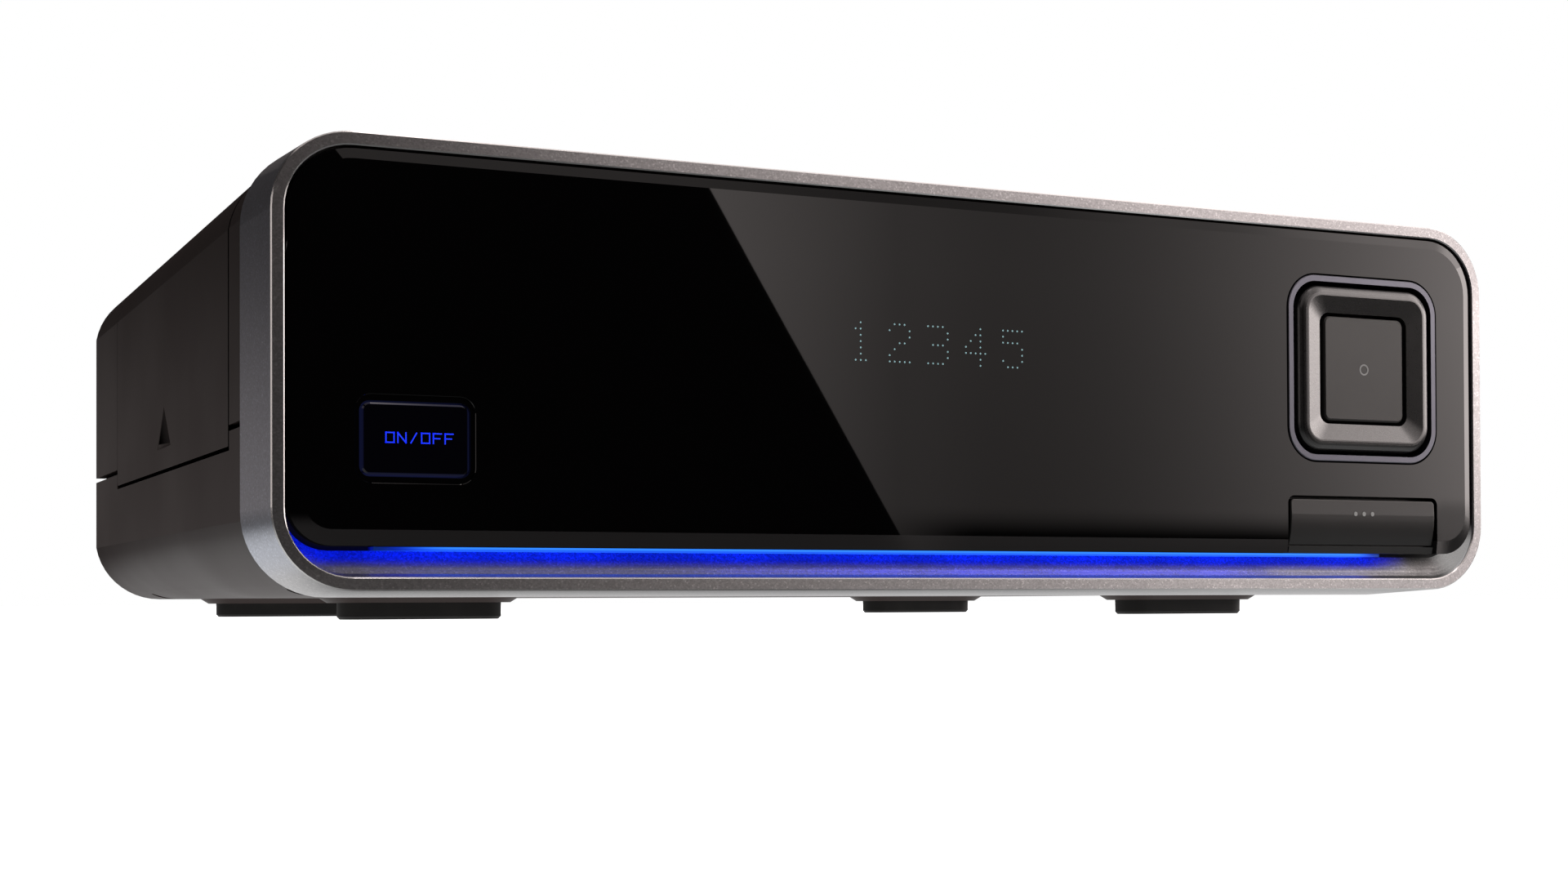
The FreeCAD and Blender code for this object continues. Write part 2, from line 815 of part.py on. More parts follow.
def carrier_rib_ring():
    """The rib that the panel is bonded to, open where the option button is."""
    half = panel_half - rib_inset[0]
    low, high = panel_low + rib_inset[1], panel_high - rib_inset[1]
    corner, corner_low = panel_corner - rib_inset[0], panel_corner_low - rib_inset[0]
    rib = prism(half, low, high, corner, panel_back, throat, 0.0, corner_low)
    inside = prism(half - carrier_rib, low + carrier_rib, high - carrier_rib, corner - carrier_rib,
                   panel_back - past, throat + past, 0.0, corner_low - carrier_rib)
    reach = option_half_width + flange_reach + flange_room
    opening = box(nav_x - reach, nav_x + reach, panel_back - past, throat + past,
                  low - past, low + carrier_rib + past)
    return rib.cut([inside, opening])


def carrier_ways():
    """The ways through the carrier for the display, the controls, the light and the infrared eye."""
    front, back = throat - past, carrier_back + past
    glass = (display_size[0] / 2 + window_gap, display_size[2] / 2 + window_gap)
    room = flange_reach + flange_room
    power = (power_size[0] / 2 + room, power_size[1] / 2 + room)
    option = option_half_width - option_way_inset
    return [
        box(-glass[0], glass[0], front, back, display_z - glass[1], display_z + glass[1]),
        box(power_x - power[0], power_x + power[0], front, back, power_z - power[1], power_z + power[1]),
        box(nav_x - nav_way_half, nav_x + nav_way_half, front, back,
            nav_z - nav_way_half, nav_z + nav_way_half),
        box(nav_x - option, nav_x + option, front, back,
            panel_low + option_way_low, panel_low + option_height - option_way_high),
        box(-light_left - loose_fit, light_right + loose_fit, front, back,
            panel_low - light_slot, panel_low),
        rod_y(infrared_way, infrared_x, infrared_z, front, back)]


def panel_carrier():
    plate = prism(cavity_half - loose_fit, cavity_low + loose_fit, cavity_high - loose_fit,
                  cavity_corner - loose_fit, throat, carrier_back)
    root = carrier_back - bond
    posts = [rod_y(post_radius, x, z, root, front_board_y) for x, z in board_post_places()]
    posts += [rod_y(led_post_radius, x, z, root, led_board_front) for x, z in led_post_places()]
    body = join([plate, carrier_rib_ring()] + posts)
    threads = [rod_y(small_radius + thread_gap, x, z, front_board_y - post_thread, front_board_y + past)
               for x, z in board_post_places() + led_post_places()]
    body = body.cut(threads + carrier_ways())
    ears = []
    for side in (-1, 1):
        x0, x1 = sorted((nav_x + side * ear_inner, nav_x + side * ear_outer))
        ears.append(box(x0, x1, pivot_y - ear_front, carrier_back, nav_z - ear_half, nav_z + ear_half))
    bore_half = (ear_outer + gimbal_pin_side) / 2 + loose_fit
    bore = rod_x(pin_radius + pin_clearance, pivot_y, nav_z, nav_x - bore_half, nav_x + bore_half)
    return join([body] + ears).cut(bore)


def light_guide():
    low, high = panel_low - light_slot + sliding_fit, panel_low - sliding_fit
    return box(-light_left, light_right, ramp_depth - light_proud, lamp_front - bond / 5, low, high)


def led_strip():
    board = box(-light_left - led_board_spare, light_right + led_board_spare,
                led_board_front, led_board_back, cavity_low + led_board_rise, panel_low + led_board_over)
    board = board.cut([rod_y(small_radius + thread_gap, x, z, led_board_front - past, led_board_back + past)
                       for x, z in led_post_places()])
    pitch = (light_left + light_right) / led_count
    middle = panel_low - light_slot / 2
    lamps = []
    for index in range(led_count):
        x = -light_left + pitch * (index + 0.5)
        lamps.append(box(x - lamp_half[0], x + lamp_half[0], lamp_front, led_board_front,
                         middle - lamp_half[1], middle + lamp_half[1]))
    return join([board] + lamps)


def led_screws():
    return screws_y(led_post_places(), led_board_back, small_length - small_head,
                    small_radius, small_head_radius, small_head)


def display_module():
    across, deep, up = display_size
    front = throat + display_gap
    glass = box(-across / 2, across / 2, front, front + deep, display_z - up / 2, display_z + up / 2)
    tip = rod_x(display_tip_radius, front + deep / 2, display_z + up / 4,
                across / 2 - past, across / 2 + display_tip_length)
    pins = []
    pitch = (across - 2 * display_pin_inset) / (display_pins - 1)
    pin_z = display_z - up / 2 + 3 * display_pin_half
    for index in range(display_pins):
        x = -across / 2 + display_pin_inset + index * pitch
        pins.append(box(x - display_pin_half, x + display_pin_half, front + deep - bond, front_board_y,
                        pin_z - display_pin_half, pin_z + display_pin_half))
    return join([glass, tip] + pins)


def front_board():
    half = cavity_half - front_board_side
    board = box(-half, half, front_board_y, front_board_back,
                panel_low + front_board_low, panel_high - front_board_high)
    return board.cut([rod_y(small_radius + screw_clearance, x, z, front_board_y - past,
                            front_board_back + past) for x, z in board_post_places()])


def front_board_screws():
    return screws_y(board_post_places(), front_board_back, small_length,
                    small_radius, small_head_radius, small_head)


def nav_post_places():
    reach = nav_foot_half - nav_post_inset
    beside = nav_post_offset
    return [(nav_x - reach, nav_z + beside), (nav_x + reach, nav_z + beside),
            (nav_x + beside, nav_z - reach), (nav_x + beside, nav_z + reach)]


def switch_places():
    return [(power_x, power_z), (nav_x, nav_z), (nav_x, option_z)]


def tact_switches():
    half = switch_size / 2
    switches = []
    for x, z in switch_places() + nav_post_places():
        body = box(x - half, x + half, switch_y, front_board_y, z - half, z + half)
        entry = rod_y(stem_tip_radius + stem_tip_gap, x, z, switch_y - past,
                      switch_y + stem_entry + press_travel + press_spare)
        switches.append(body.cut(entry))
    return group(switches)


def infrared_receiver():
    x, z = infrared_x, infrared_z
    across, up = infrared_half
    eye = front_board_y - infrared_eye_depth
    body = box(x - across, x + across, front_board_y - infrared_depth, front_board_y, z - up, z + up)
    return join([body, rod_y(infrared_eye, x, z, eye, front_board_y - infrared_depth),
                 Part.makeSphere(infrared_eye, V(x, at(eye), z))])


def ribbon_sockets():
    half = ribbon_half + socket_spare
    slot_half = ribbon_half + socket_cheek
    x, high, low = ribbon_x, ribbon_top, ribbon_low
    upper = box(x - half, x + half, front_board_back, front_board_back + socket_depth,
                high - socket_half_height, high + socket_half_height)
    upper = upper.cut(box(x - slot_half, x + slot_half, front_board_back + past,
                          front_board_back + socket_depth + past, high - socket_slot, high + socket_slot))
    front = board_front + past
    lower = box(x - half, x + half, front, front + socket_length, board_top, low + socket_half_height)
    lower = lower.cut(box(x - slot_half, x + slot_half, front - past, front + socket_reach,
                          low - socket_slot, low + socket_slot))
    return group([upper, lower])


def ribbon_cable():
    """A flat cable that bends down behind the front board and back along the main board."""
    turn, top, low = ribbon_turn, ribbon_top, ribbon_low
    start = front_board_back + cable_entry
    bend = start + ribbon_straight
    end = board_front + past + socket_reach - cable_end_gap
    x0 = ribbon_x - ribbon_half
    diagonal = math.sqrt(0.5)

    def side(offset):
        down = bend + turn
        upper_r = turn + offset
        lower_r = turn - offset
        return [V(x0, at(start), top + offset), V(x0, at(bend), top + offset),
                V(x0, at(bend + upper_r * diagonal), top - turn + upper_r * diagonal),
                V(x0, at(down + offset), top - turn),
                V(x0, at(down + offset), low + turn),
                V(x0, at(down + turn - lower_r * diagonal), low + turn - lower_r * diagonal),
                V(x0, at(down + turn), low + offset), V(x0, at(end), low + offset)]

    outer = side(ribbon_thick / 2)
    inner = side(-ribbon_thick / 2)
    edges = []
    for points in (outer, inner):
        edges.append(Part.LineSegment(points[0], points[1]).toShape())
        edges.append(Part.Arc(points[1], points[2], points[3]).toShape())
        edges.append(Part.LineSegment(points[3], points[4]).toShape())
        edges.append(Part.Arc(points[4], points[5], points[6]).toShape())
        edges.append(Part.LineSegment(points[6], points[7]).toShape())
    edges.append(Part.LineSegment(outer[0], inner[0]).toShape())
    edges.append(Part.LineSegment(outer[-1], inner[-1]).toShape())
    wire = Part.Wire(Part.__sortEdges__(edges))
    return Part.Face(wire).extrude(V(2 * ribbon_half, 0, 0))


# ---------------------------------------------------------------------------------------------
# Buttons
# ---------------------------------------------------------------------------------------------
def stem(x, z, start):
    shaft = rod_y(stem_radius, x, z, start, switch_y - stem_gap)
    tip = rod_y(stem_tip_radius, x, z, switch_y - stem_gap - stem_tip_length, switch_y + stem_entry)
    return join([shaft, tip])


def power_button():
    across, up = power_size[0] / 2, power_size[1] / 2
    edge = power_edge[0]
    back = panel_back + flange_back
    cap = rounded(power_x, power_z, [
        (power_front, across - edge, up - edge, power_corner - edge),
        (power_front + power_edge[1], across, up, power_corner),
        (back, across, up, power_corner)])
    wide, tall, corner = across + flange_reach, up + flange_reach, power_corner + button_gap
    flange = rounded(power_x, power_z, [(panel_back + flange_step, wide, tall, corner),
                                        (back, wide, tall, corner)])
    return join([cap, flange, stem(power_x, power_z, panel_back + flange_step + bond)])


def ok_button():
    across, up = ok_half
    front, back = -ok_proud, pivot_y - gimbal_half
    cap = rounded(nav_x, nav_z, [
        (front, across - ok_proud * 2, up - ok_proud * 2, ok_corner - ok_proud * 2),
        (front + ok_proud, across - ok_proud / 2, up - ok_proud / 2, ok_corner - ok_proud / 2),
        (front + 3 * ok_proud, across, up, ok_corner),
        (back + bond, across, up, ok_corner)])
    flange = square_hole((ok_flange, ok_flange), ok_corner, back + ramp_draft, pivot_y + bezel_fit)
    return join([cap, flange, stem(nav_x, nav_z, pivot_y - past)])


def option_cap():
    """The button's front, flush at the top, curved back below and ending in a lip under a groove."""
    top = panel_low + option_height
    lip_top = panel_low + option_lip
    curve_top = lip_top + option_curve_height
    curve_low = lip_top + option_groove
    face = panel_recess
    groove = panel_back - option_back_recess
    lip_face = face + option_lip_recess
    x0 = nav_x - option_half_width

    def point(depth, z):
        return V(x0, at(depth), z)

    corners = [point(face + option_curve, curve_low), point(groove, curve_low), point(groove, lip_top),
               point(lip_face, lip_top), point(lip_face + option_groove, panel_low),
               point(panel_back, panel_low), point(panel_back, top), point(face + option_lean, top),
               point(face, curve_top)]
    edges = [Part.LineSegment(start, end).toShape() for start, end in zip(corners, corners[1:])]
    middle = point(face + option_curve / 4, (curve_top + curve_low) / 2)
    edges.append(Part.Arc(corners[-1], middle, corners[0]).toShape())
    cap = Part.Face(Part.Wire(edges)).extrude(V(2 * option_half_width, 0, 0)).common(option_zone(0.0))
    reach = at(face + option_curve + option_edge)
    round_face = []
    for edge in cap.Edges:
        bounds = edge.BoundBox
        turned_in = bounds.XLength > option_half_width and bounds.ZMax < top - option_edge
        if bounds.YMax < reach and bounds.ZMin > lip_top and not turned_in:
            round_face.append(edge)
    return cap.makeFillet(option_edge, round_face)


def option_button():
    x0, x1 = nav_x - option_half_width, nav_x + option_half_width
    top = panel_low + option_height
    flange = box(x0, x1, panel_back, throat - past, panel_low + option_flange_low, top + option_flange_high)
    step = box(x0 - past, x1 + past, panel_back - past, panel_back + flange_step + screw_clearance,
               top, top + option_flange_high + past)
    return join([option_cap(), flange.cut(step), stem(nav_x, option_z, panel_back + past)])


def nav_ring():
    foot, crest = nav_foot_half, nav_crest_half
    front = -nav_proud
    slope = foot - bezel_fit
    sections = []
    for step in range(nav_crest_steps + 1):
        turn = math.radians(nav_crest_turn * step / nav_crest_steps)
        out = nav_crest_round * math.sin(turn)
        sections.append((front + nav_crest_round * (1 - math.cos(turn)), crest + out, crest + out,
                         nav_crest_corner + out))
    sections.append((front + nav_flank, slope, slope, nav_foot_corner - bezel_fit))
    sections.append((nav_back, foot, foot, nav_foot_corner))
    hole_x, hole_z = nav_hole_half
    inner = crest - loose_fit
    dish = [(front - loose_fit, crest, crest, nav_crest_corner),
            (front, inner, inner, nav_crest_corner - loose_fit),
            (nav_hole_rim, hole_x, hole_z, nav_hole_corner),
            (nav_back + past, hole_x, hole_z, nav_hole_corner)]
    body = rounded(nav_x, nav_z, sections).cut(rounded(nav_x, nav_z, dish))
    root = nav_back - bond
    posts = [rod_y(nav_post_radius, x, z, root, switch_y - stem_gap) for x, z in nav_post_places()]
    lugs = []
    bores = []
    for side in (-1, 1):
        z0, z1 = sorted((nav_z + side * lug_inner, nav_z + side * lug_outer))
        lugs.append(box(nav_x - lug_half, nav_x + lug_half, root, pivot_y + lug_back, z0, z1))
        bores.append(rod_z(pin_radius + pin_clearance, nav_x, pivot_y, z0 - past, z1 + past))
    return join([body] + posts + lugs).cut(bores)


def nav_gimbal():
    def square(half, deep):
        return box(nav_x - half, nav_x + half, pivot_y - deep, pivot_y + deep, nav_z - half, nav_z + half)

    root = (gimbal_outer + gimbal_inner) / 2
    pins = []
    for side in (-1, 1):
        pins.append(rod_x(pin_radius, pivot_y, nav_z, nav_x + side * root, nav_x + side * gimbal_pin_side))
        pins.append(rod_z(pin_radius, nav_x, pivot_y, nav_z + side * root, nav_z + side * gimbal_pin_end))
    frame = square(gimbal_outer, gimbal_half).cut(square(gimbal_inner, gimbal_half + past))
    return join([frame] + pins)


# ---------------------------------------------------------------------------------------------
# Shells
# ---------------------------------------------------------------------------------------------
def door_zone(gap):
    """The space the door takes in the left side and over the corner, grown by a gap."""
    d0, d1 = door_front - gap, door_rear + gap
    low = door_z - gap
    top = case_height + past
    radius = door_corner + gap
    x0 = -half_w - past
    x1 = -half_w + door_top_reach + gap
    short = radius * (1 - math.sqrt(0.5))

    def point(depth, z):
        return V(x0, at(depth), z)

    points = [point(d0, top), point(d0, low + radius), point(d0 + short, low + short),
              point(d0 + radius, low), point(d1 - radius, low), point(d1 - short, low + short),
              point(d1, low + radius), point(d1, top)]
    edges = [Part.LineSegment(points[0], points[1]).toShape(),
             Part.Arc(points[1], points[2], points[3]).toShape(),
             Part.LineSegment(points[3], points[4]).toShape(),
             Part.Arc(points[4], points[5], points[6]).toShape(),
             Part.LineSegment(points[6], points[7]).toShape(),
             Part.LineSegment(points[7], points[0]).toShape()]
    return Part.Face(Part.Wire(edges)).extrude(V(x1 - x0, 0, 0))


def slab(d0, d1, z0, z1):
    """A block across the whole case."""
    return box(-half_w - past, half_w + past, d0, d1, z0, z1)


def shell_tube():
    inside = shell_prism(wall, body_front - past, case_depth + past)
    return shell_prism(0, body_front, case_depth).cut(inside)


def front_lip():
    """The lip that reaches forward into the frame."""
    inner = wall + lip_step + tongue
    rear = shell_prism(wall, body_front, body_front + lip_depth).cut(
        shell_prism(inner, body_front - past, body_front + lip_depth + past))
    gap = screw_clearance
    lip = prism(cavity_half - gap, cavity_low + gap, cavity_high - gap, cavity_corner - gap,
                frame_depth - lip_reach, body_front + past)
    bore = shell_prism(inner, frame_depth - lip_reach - past, body_front + 2 * past)
    return join([rear, lip.cut(bore)])


def post_places():
    reach = inner_half - case_post_inset
    return grid((-reach, reach), (body_front + case_post_front, door_rear + case_post_rear))


def rear_lug_places(upper):
    z = ceiling_z - rear_lug_drop if upper else floor_z + rear_lug_rise
    return [(side * (inner_half - rear_lug_inset), z) for side in (-1, 1)]


def rear_lugs(upper):
    lugs = []
    front = rear_panel_y - rear_lug_depth
    inside = shell_prism(wall / 2, front - past, rear_panel_y + past)
    for x, z in rear_lug_places(upper):
        side = math.copysign(1, x)
        x0, x1 = sorted((x - side * rear_lug_half, side * (inner_half + bond)))
        lug = box(x0, x1, front, rear_panel_y, z - rear_lug_half, z + rear_lug_half)
        lugs.append(lug.common(inside))
    return lugs


def rear_lug_bores(upper):
    return [rod_y(screw_radius + thread_gap, x, z, rear_panel_y - rear_lug_thread, rear_panel_y + past)
            for x, z in rear_lug_places(upper)]


def top_cover():
    below = slab(0, case_depth + past, 0, cover_bottom)
    under_tongue = slab(0, body_front + lip_depth + loose_fit, 0, base_top + tongue_rise + loose_fit)
    body = join([shell_tube().cut(below), front_lip().cut(under_tongue)])
    posts = [rod_z(cover_post_radius, x, d, cover_bottom + post_gap, ceiling_z + bond)
             for x, d in post_places()]
    body = join([body] + posts + rear_lugs(True))
    cuts = [rod_z(screw_radius + thread_gap, x, d, cover_bottom, cover_bottom + post_screw_thread)
            for x, d in post_places()]
    return body.cut(cuts + rear_lug_bores(True) + [door_zone(door_gap)])


def foot_places():
    return grid((-foot_x, foot_x), (foot_front, foot_rear))


def cage_post_places():
    side = cage_half - cage_post_side
    return grid((door_inner_x + cage_post_front, drive_end - cage_post_end), (tray_y - side, tray_y + side))


def standoff_places():
    left, right, front, rear = standoff_inset
    return grid((board_left + left, board_right - right), (board_front + front, board_rear - rear))


def base_tongues():
    """The strips inside the base's upper edge that close the seam; the cover slides over them."""
    high = case_height + past
    above = slab(0, case_depth + past, base_top + tongue_rise, high)
    below = slab(0, case_depth + past, 0, base_top - tongue_root)
    spans = ((body_front + lip_depth, rear_panel_y - bond),
             (rear_face + screw_clearance, case_depth - post_gap))
    tongues = [front_lip().cut(above)]
    for d0, d1 in spans:
        inside = shell_prism(wall + tongue, d0 - past, d1 + past)
        tongues.append(shell_prism(wall, d0, d1).cut([inside, above, below]))
    cover_room = shell_prism(wall - past, body_front - past, case_depth + past).cut(
        shell_prism(wall + screw_clearance, body_front - 2 * past, case_depth + 2 * past))
    cover_room = cover_room.cut(slab(0, case_depth + 2 * past, 0, cover_bottom - loose_fit))
    return [strip.cut(cover_room) for strip in tongues]


def foot_pads():
    """Raised pads under the base that carry the rubber feet."""
    across, along = foot_width / 2 + pad_margin, foot_length / 2 + pad_margin
    turn = foot_corner + pad_margin
    return [rounded_plate_z(x, d, [
        (foot_height, across, along, turn),
        (body_low + loose_fit, across + pad_slope, along + pad_slope, turn + pad_slope)])
        for x, d in foot_places()]


def base_shell():
    high = case_height + past
    body = join([shell_tube().cut(slab(0, case_depth + past, base_top, high))] + base_tongues())
    posts = [rod_z(base_post_radius, x, d, floor_z - bond, cover_bottom) for x, d in post_places()]
    body = join([body] + foot_pads() + posts + rear_lugs(False))
    cuts = rear_lug_bores(False)
    for x, d in post_places():
        cuts.append(rod_z(screw_radius + screw_clearance, x, d, 0, high))
        cuts.append(rod_z(screw_head_radius + well_gap, x, d, 0, floor_z + screw_well))
    for x, d in standoff_places():
        cuts.append(rod_z(screw_radius + thread_gap, x, d, floor_z - wall / 2, floor_z + past))
    for index in range(floor_vent_count):
        x = floor_vent_start + floor_vent_pitch * index
        cuts.append(box(x - slot_width / 2, x + slot_width / 2, floor_vent_span[0], floor_vent_span[1],
                        0, floor_z + past))
    door_side = box(-half_w - 2 * past, -inner_half, 0, case_depth, 0, high + past)
    cuts.append(door_zone(door_gap).common(door_side))
    cuts.append(box(-half_w, -inner_half + door_way, door_front - door_gap, door_rear + door_gap,
                    door_z - door_gap, case_height))
    return body.cut(cuts)


def case_screws():
    seat = floor_z + screw_well
    made = []
    for x, d in post_places():
        head = rod_z(screw_head_radius, x, d, seat - screw_head, seat)
        shank = rod_z(screw_radius, x, d, seat - past, cover_bottom + post_screw_thread - past)
        made.append(join([head, shank]))
    return group(made)


def rubber_feet():
    across, along, trim = foot_width / 2, foot_length / 2, foot_chamfer
    return group([rounded_plate_z(x, d, [
        (0, across - trim, along - trim, foot_corner - trim),
        (trim, across, along, foot_corner),
        (foot_height, across, along, foot_corner)]) for x, d in foot_places()])


# ---------------------------------------------------------------------------------------------
# Rear panel and its fan
# ---------------------------------------------------------------------------------------------
def socket_windows():
    """(x, width, height) of each rectangular window in the rear panel."""
    windows = [(power_socket_x, power_cutout, power_socket_size[2])]
    for x, size in ((video_socket_x, video_socket_size), (network_socket_x, network_socket_size),
                    (bus_socket_x, bus_socket_size), (optical_socket_x, optical_socket_size)):
        windows.append((x, size[0], size[2]))
    return windows


def rear_panel():
    sheet = shell_prism(wall + rear_sheet_gap, rear_panel_y, rear_face)
    front, back = rear_panel_y - past, rear_face + past
    cuts = []
    for x, width, height in socket_windows():
        half = width / 2 + socket_gap
        cuts.append(box(x - half, x + half, front, back, board_top - socket_gap,
                        board_top + height + socket_gap))
    for x in phono_x:
        cuts.append(rod_y(jack_collar + loose_fit, x, board_top + phono_z, front, back))
    for x, z in fan_corners():
        cuts.append(rod_y(fan_hole, x, z, front, back))
    for index in range(-grille_arms, grille_arms + 1):
        x = fan_x + index * grille_pitch
        half = math.sqrt((fan_bore / 2 - past) ** 2 - (x - fan_x) ** 2)
        cuts.append(box(x - slot_width / 2, x + slot_width / 2, front, back, fan_z - half, fan_z + half))
    for index in range(vent_count):
        x = -half_w + vent_start + index * vent_pitch
        for row in vent_rows:
            z = cover_bottom + row
            cuts.append(box(x - slot_width / 2, x + slot_width / 2, front, back,
                            z - vent_half, z + vent_half))
    for x, z in rear_lug_places(False) + rear_lug_places(True):
        cuts.append(rod_y(screw_radius + screw_clearance, x, z, front, back))
    return sheet.cut(cuts)


def rear_screws():
    return screws_y(rear_lug_places(False) + rear_lug_places(True), rear_face, sheet_screw_length,
                    screw_radius, screw_head_radius, screw_head)


def fan_corners():
    half = fan_hole_pitch / 2
    return grid((fan_x - half, fan_x + half), (fan_z - half, fan_z + half))


def turned(shape, angle):
    """The shape turned about the fan's axis."""
    shape.rotate(V(fan_x, 0, fan_z), V(0, 1, 0), angle)
    return shape


def fan_frame():
    half = fan_size / 2
    d0, d1 = fan_front, rear_panel_y
    body = rounded(fan_x, fan_z, [(d0, half, half, fan_corner), (d1, half, half, fan_corner)])
    body = body.cut(rod_y(fan_bore / 2, fan_x, fan_z, d0 - past, d1 + past))
    hub = rod_y(fan_hub, fan_x, fan_z, d0, d0 + fan_plate)
    struts = []
    for index in range(fan_struts):
        arm = box(fan_x - fan_strut_half, fan_x + fan_strut_half, d0, d0 + fan_plate,
                  fan_z + fan_strut_root, fan_z + fan_bore / 2 + bond)
        struts.append(turned(arm, fan_strut_angle + 360 / fan_struts * index))
    sleeve = rod_y(fan_sleeve, fan_x, fan_z, d0 + fan_plate - bond, d0 + fan_sleeve_depth)
    body = join([body, hub, sleeve] + struts)
    cuts = [rod_y(pin_radius + pin_clearance, fan_x, fan_z, d0 + fan_plate / 2,
                  d0 + fan_sleeve_depth + past)]
    cuts += [rod_y(screw_radius + thread_gap, x, z, d0 - past, d1 + past) for x, z in fan_corners()]
    return body.cut(cuts)


def fan_rotor():
    d0 = fan_front
    front, back = d0 + cup_span[0], d0 + cup_span[1]
    cup = rod_y(cup_radius, fan_x, fan_z, front, back)
    cup = cup.cut(rod_y(cup_radius - cup_wall, fan_x, fan_z, front - past, back - cup_floor))
    shaft = rod_y(pin_radius, fan_x, fan_z, d0 + shaft_span[0], d0 + shaft_span[1])
    tip = fan_bore / 2 - blade_tip_gap
    middle = V(fan_x, at(d0 + (blade_span[0] + blade_span[1]) / 2), fan_z)
    blades = []
    for index in range(blade_count):
        blade = box(fan_x - blade_thick / 2, fan_x + blade_thick / 2, d0 + blade_span[0],
                    d0 + blade_span[1], fan_z + cup_radius - bond, fan_z + tip)
        blade.rotate(middle, V(0, 0, 1), blade_twist)
        blades.append(turned(blade, 360.0 * index / blade_count))
    limit = rod_y(tip, fan_x, fan_z, front, back + ramp_draft)
    return join([cup, shaft] + blades).common(limit)


def fan_screws():
    return screws_y(fan_corners(), rear_face, sheet_screw_length - past,
                    screw_radius, screw_head_radius, screw_head)


# ---------------------------------------------------------------------------------------------
# Main board
# ---------------------------------------------------------------------------------------------
def main_board():
    board = box(board_left, board_right, board_front, board_rear, board_z, board_top)
    low, high = board_z - past, board_top + past
    cuts = []
    for radius, places in ((screw_radius + screw_clearance, standoff_places()),
                           (cage_post_hole, cage_post_places()), (case_post_hole, post_places())):
        cuts += [rod_z(radius, x, d, low, high) for x, d in places]
    return board.cut(cuts)


def board_standoffs():
    return group([rod_z(standoff_radius, x, d, floor_z, board_z).cut(
        rod_z(screw_radius + thread_gap, x, d, floor_z - past, board_z + past))
        for x, d in standoff_places()])


def board_screws():
    length = board_top - floor_z + wall / 2 - screw_clearance
    return screws_z(standoff_places(), board_top, length, screw_radius, screw_head_radius, screw_head)


def block_on_board(x, depth, half_x, half_y, low, high):
    """A block that lies low to high above the main board."""
    return box(x - half_x, x + half_x, depth - half_y, depth + half_y, board_top + low, board_top + high)


def processor():
    base = block_on_board(chip_x, chip_depth, chip_half, chip_half, 0, chip_height)
    die = block_on_board(chip_x, chip_depth, die_half, die_half, chip_height, chip_height + die_height)
    return join([base, die])


def heatsink():
    low = chip_height + die_height
    parts = [block_on_board(chip_x, chip_depth, sink_half, sink_half, low, low + sink_plate)]
    pitch = (2 * sink_half - sink_fin) / (sink_fins - 1)
    for index in range(sink_fins):
        x = chip_x - sink_half + sink_fin / 2 + index * pitch
        parts.append(block_on_board(x, chip_depth, sink_fin / 2, sink_half,
                                    low + sink_plate - bond, low + sink_height))
    return join(parts)


def memory_chips():
    places = grid((chip_x - memory_offset, chip_x + memory_offset),
                  [chip_depth - row for row in memory_rows])
    return group([block_on_board(x, d, memory_half[0], memory_half[1], 0, memory_height)
                  for x, d in places])


def capacitors():
    cans = []
    for x, d in can_places:
        can = rod_z(can_radius, x, d, board_top, board_top + can_height)
        top_edge = [edge for edge in can.Edges if edge.Closed and edge.CenterOfMass.z > board_top + past]
        cans.append(can.makeChamfer(can_edge, top_edge))
    return group(cans)


def coin_cell():
    low = board_top + holder_floor
    return rod_z(cell_radius, cell_x, cell_depth, low, low + cell_thick)


def coin_cell_holder():
    low = board_top + holder_floor
    top = low + holder_cover * cell_thick
    cup = rod_z(cell_radius + holder_wall, cell_x, cell_depth, board_top, top)
    return cup.cut(rod_z(cell_radius + cell_fit, cell_x, cell_depth, low, top + past))


# ---------------------------------------------------------------------------------------------
# Sockets on the rear edge of the main board
# ---------------------------------------------------------------------------------------------
def socket_block(x, size):
    width, depth, height = size
    return box(x - width / 2, x + width / 2, socket_back - depth, socket_back,
               board_top, board_top + height)


def socket_cut(x, cavity):
    """A cavity from a socket's face: its half width, low and high above the board, and depth."""
    half, low, high, deep = cavity
    return box(x - half, x + half, socket_back - deep, socket_back + past, board_top + low, board_top + high)


def power_socket():
    x, z = power_socket_x, board_top + power_socket_z
    radius, deep = power_socket_hole
    pin_radius_here, pin_back = power_pin
    body = socket_block(x, power_socket_size)
    body = body.cut(rod_y(radius, x, z, socket_back - deep, socket_back + past))
    return join([body, rod_y(pin_radius_here, x, z, socket_back - deep - bond, socket_back - pin_back)])


def video_socket():
    x = video_socket_x
    body = socket_block(x, video_socket_size).cut(socket_cut(x, video_cavity))
    return join([body, socket_cut(x, video_tongue).common(
        box(x - video_cavity[0], x + video_cavity[0], socket_back - video_tongue[3],
            socket_back - sliding_fit, board_top, board_top + video_socket_size[2]))])


def network_socket():
    x = network_socket_x
    return socket_block(x, network_socket_size).cut([socket_cut(x, network_cavity),
                                                     socket_cut(x, network_latch)])


def bus_sockets():
    x = bus_socket_x
    half, tall, deep = bus_cavity
    tongue_half, tongue_thick, tongue_deep = bus_tongue
    cuts = []
    tongues = []
    for low in bus_levels:
        cuts.append(socket_cut(x, (half, low, low + tall, deep)))
        tongues.append(box(x - tongue_half, x + tongue_half, socket_back - tongue_deep,
                           socket_back - bus_tongue_inset, board_top + low + tall - tongue_thick,
                           board_top + low + tall))
    return join([socket_block(x, bus_socket_size).cut(cuts)] + tongues)


def optical_socket():
    x = optical_socket_x
    return socket_block(x, optical_socket_size).cut(socket_cut(x, optical_cavity))


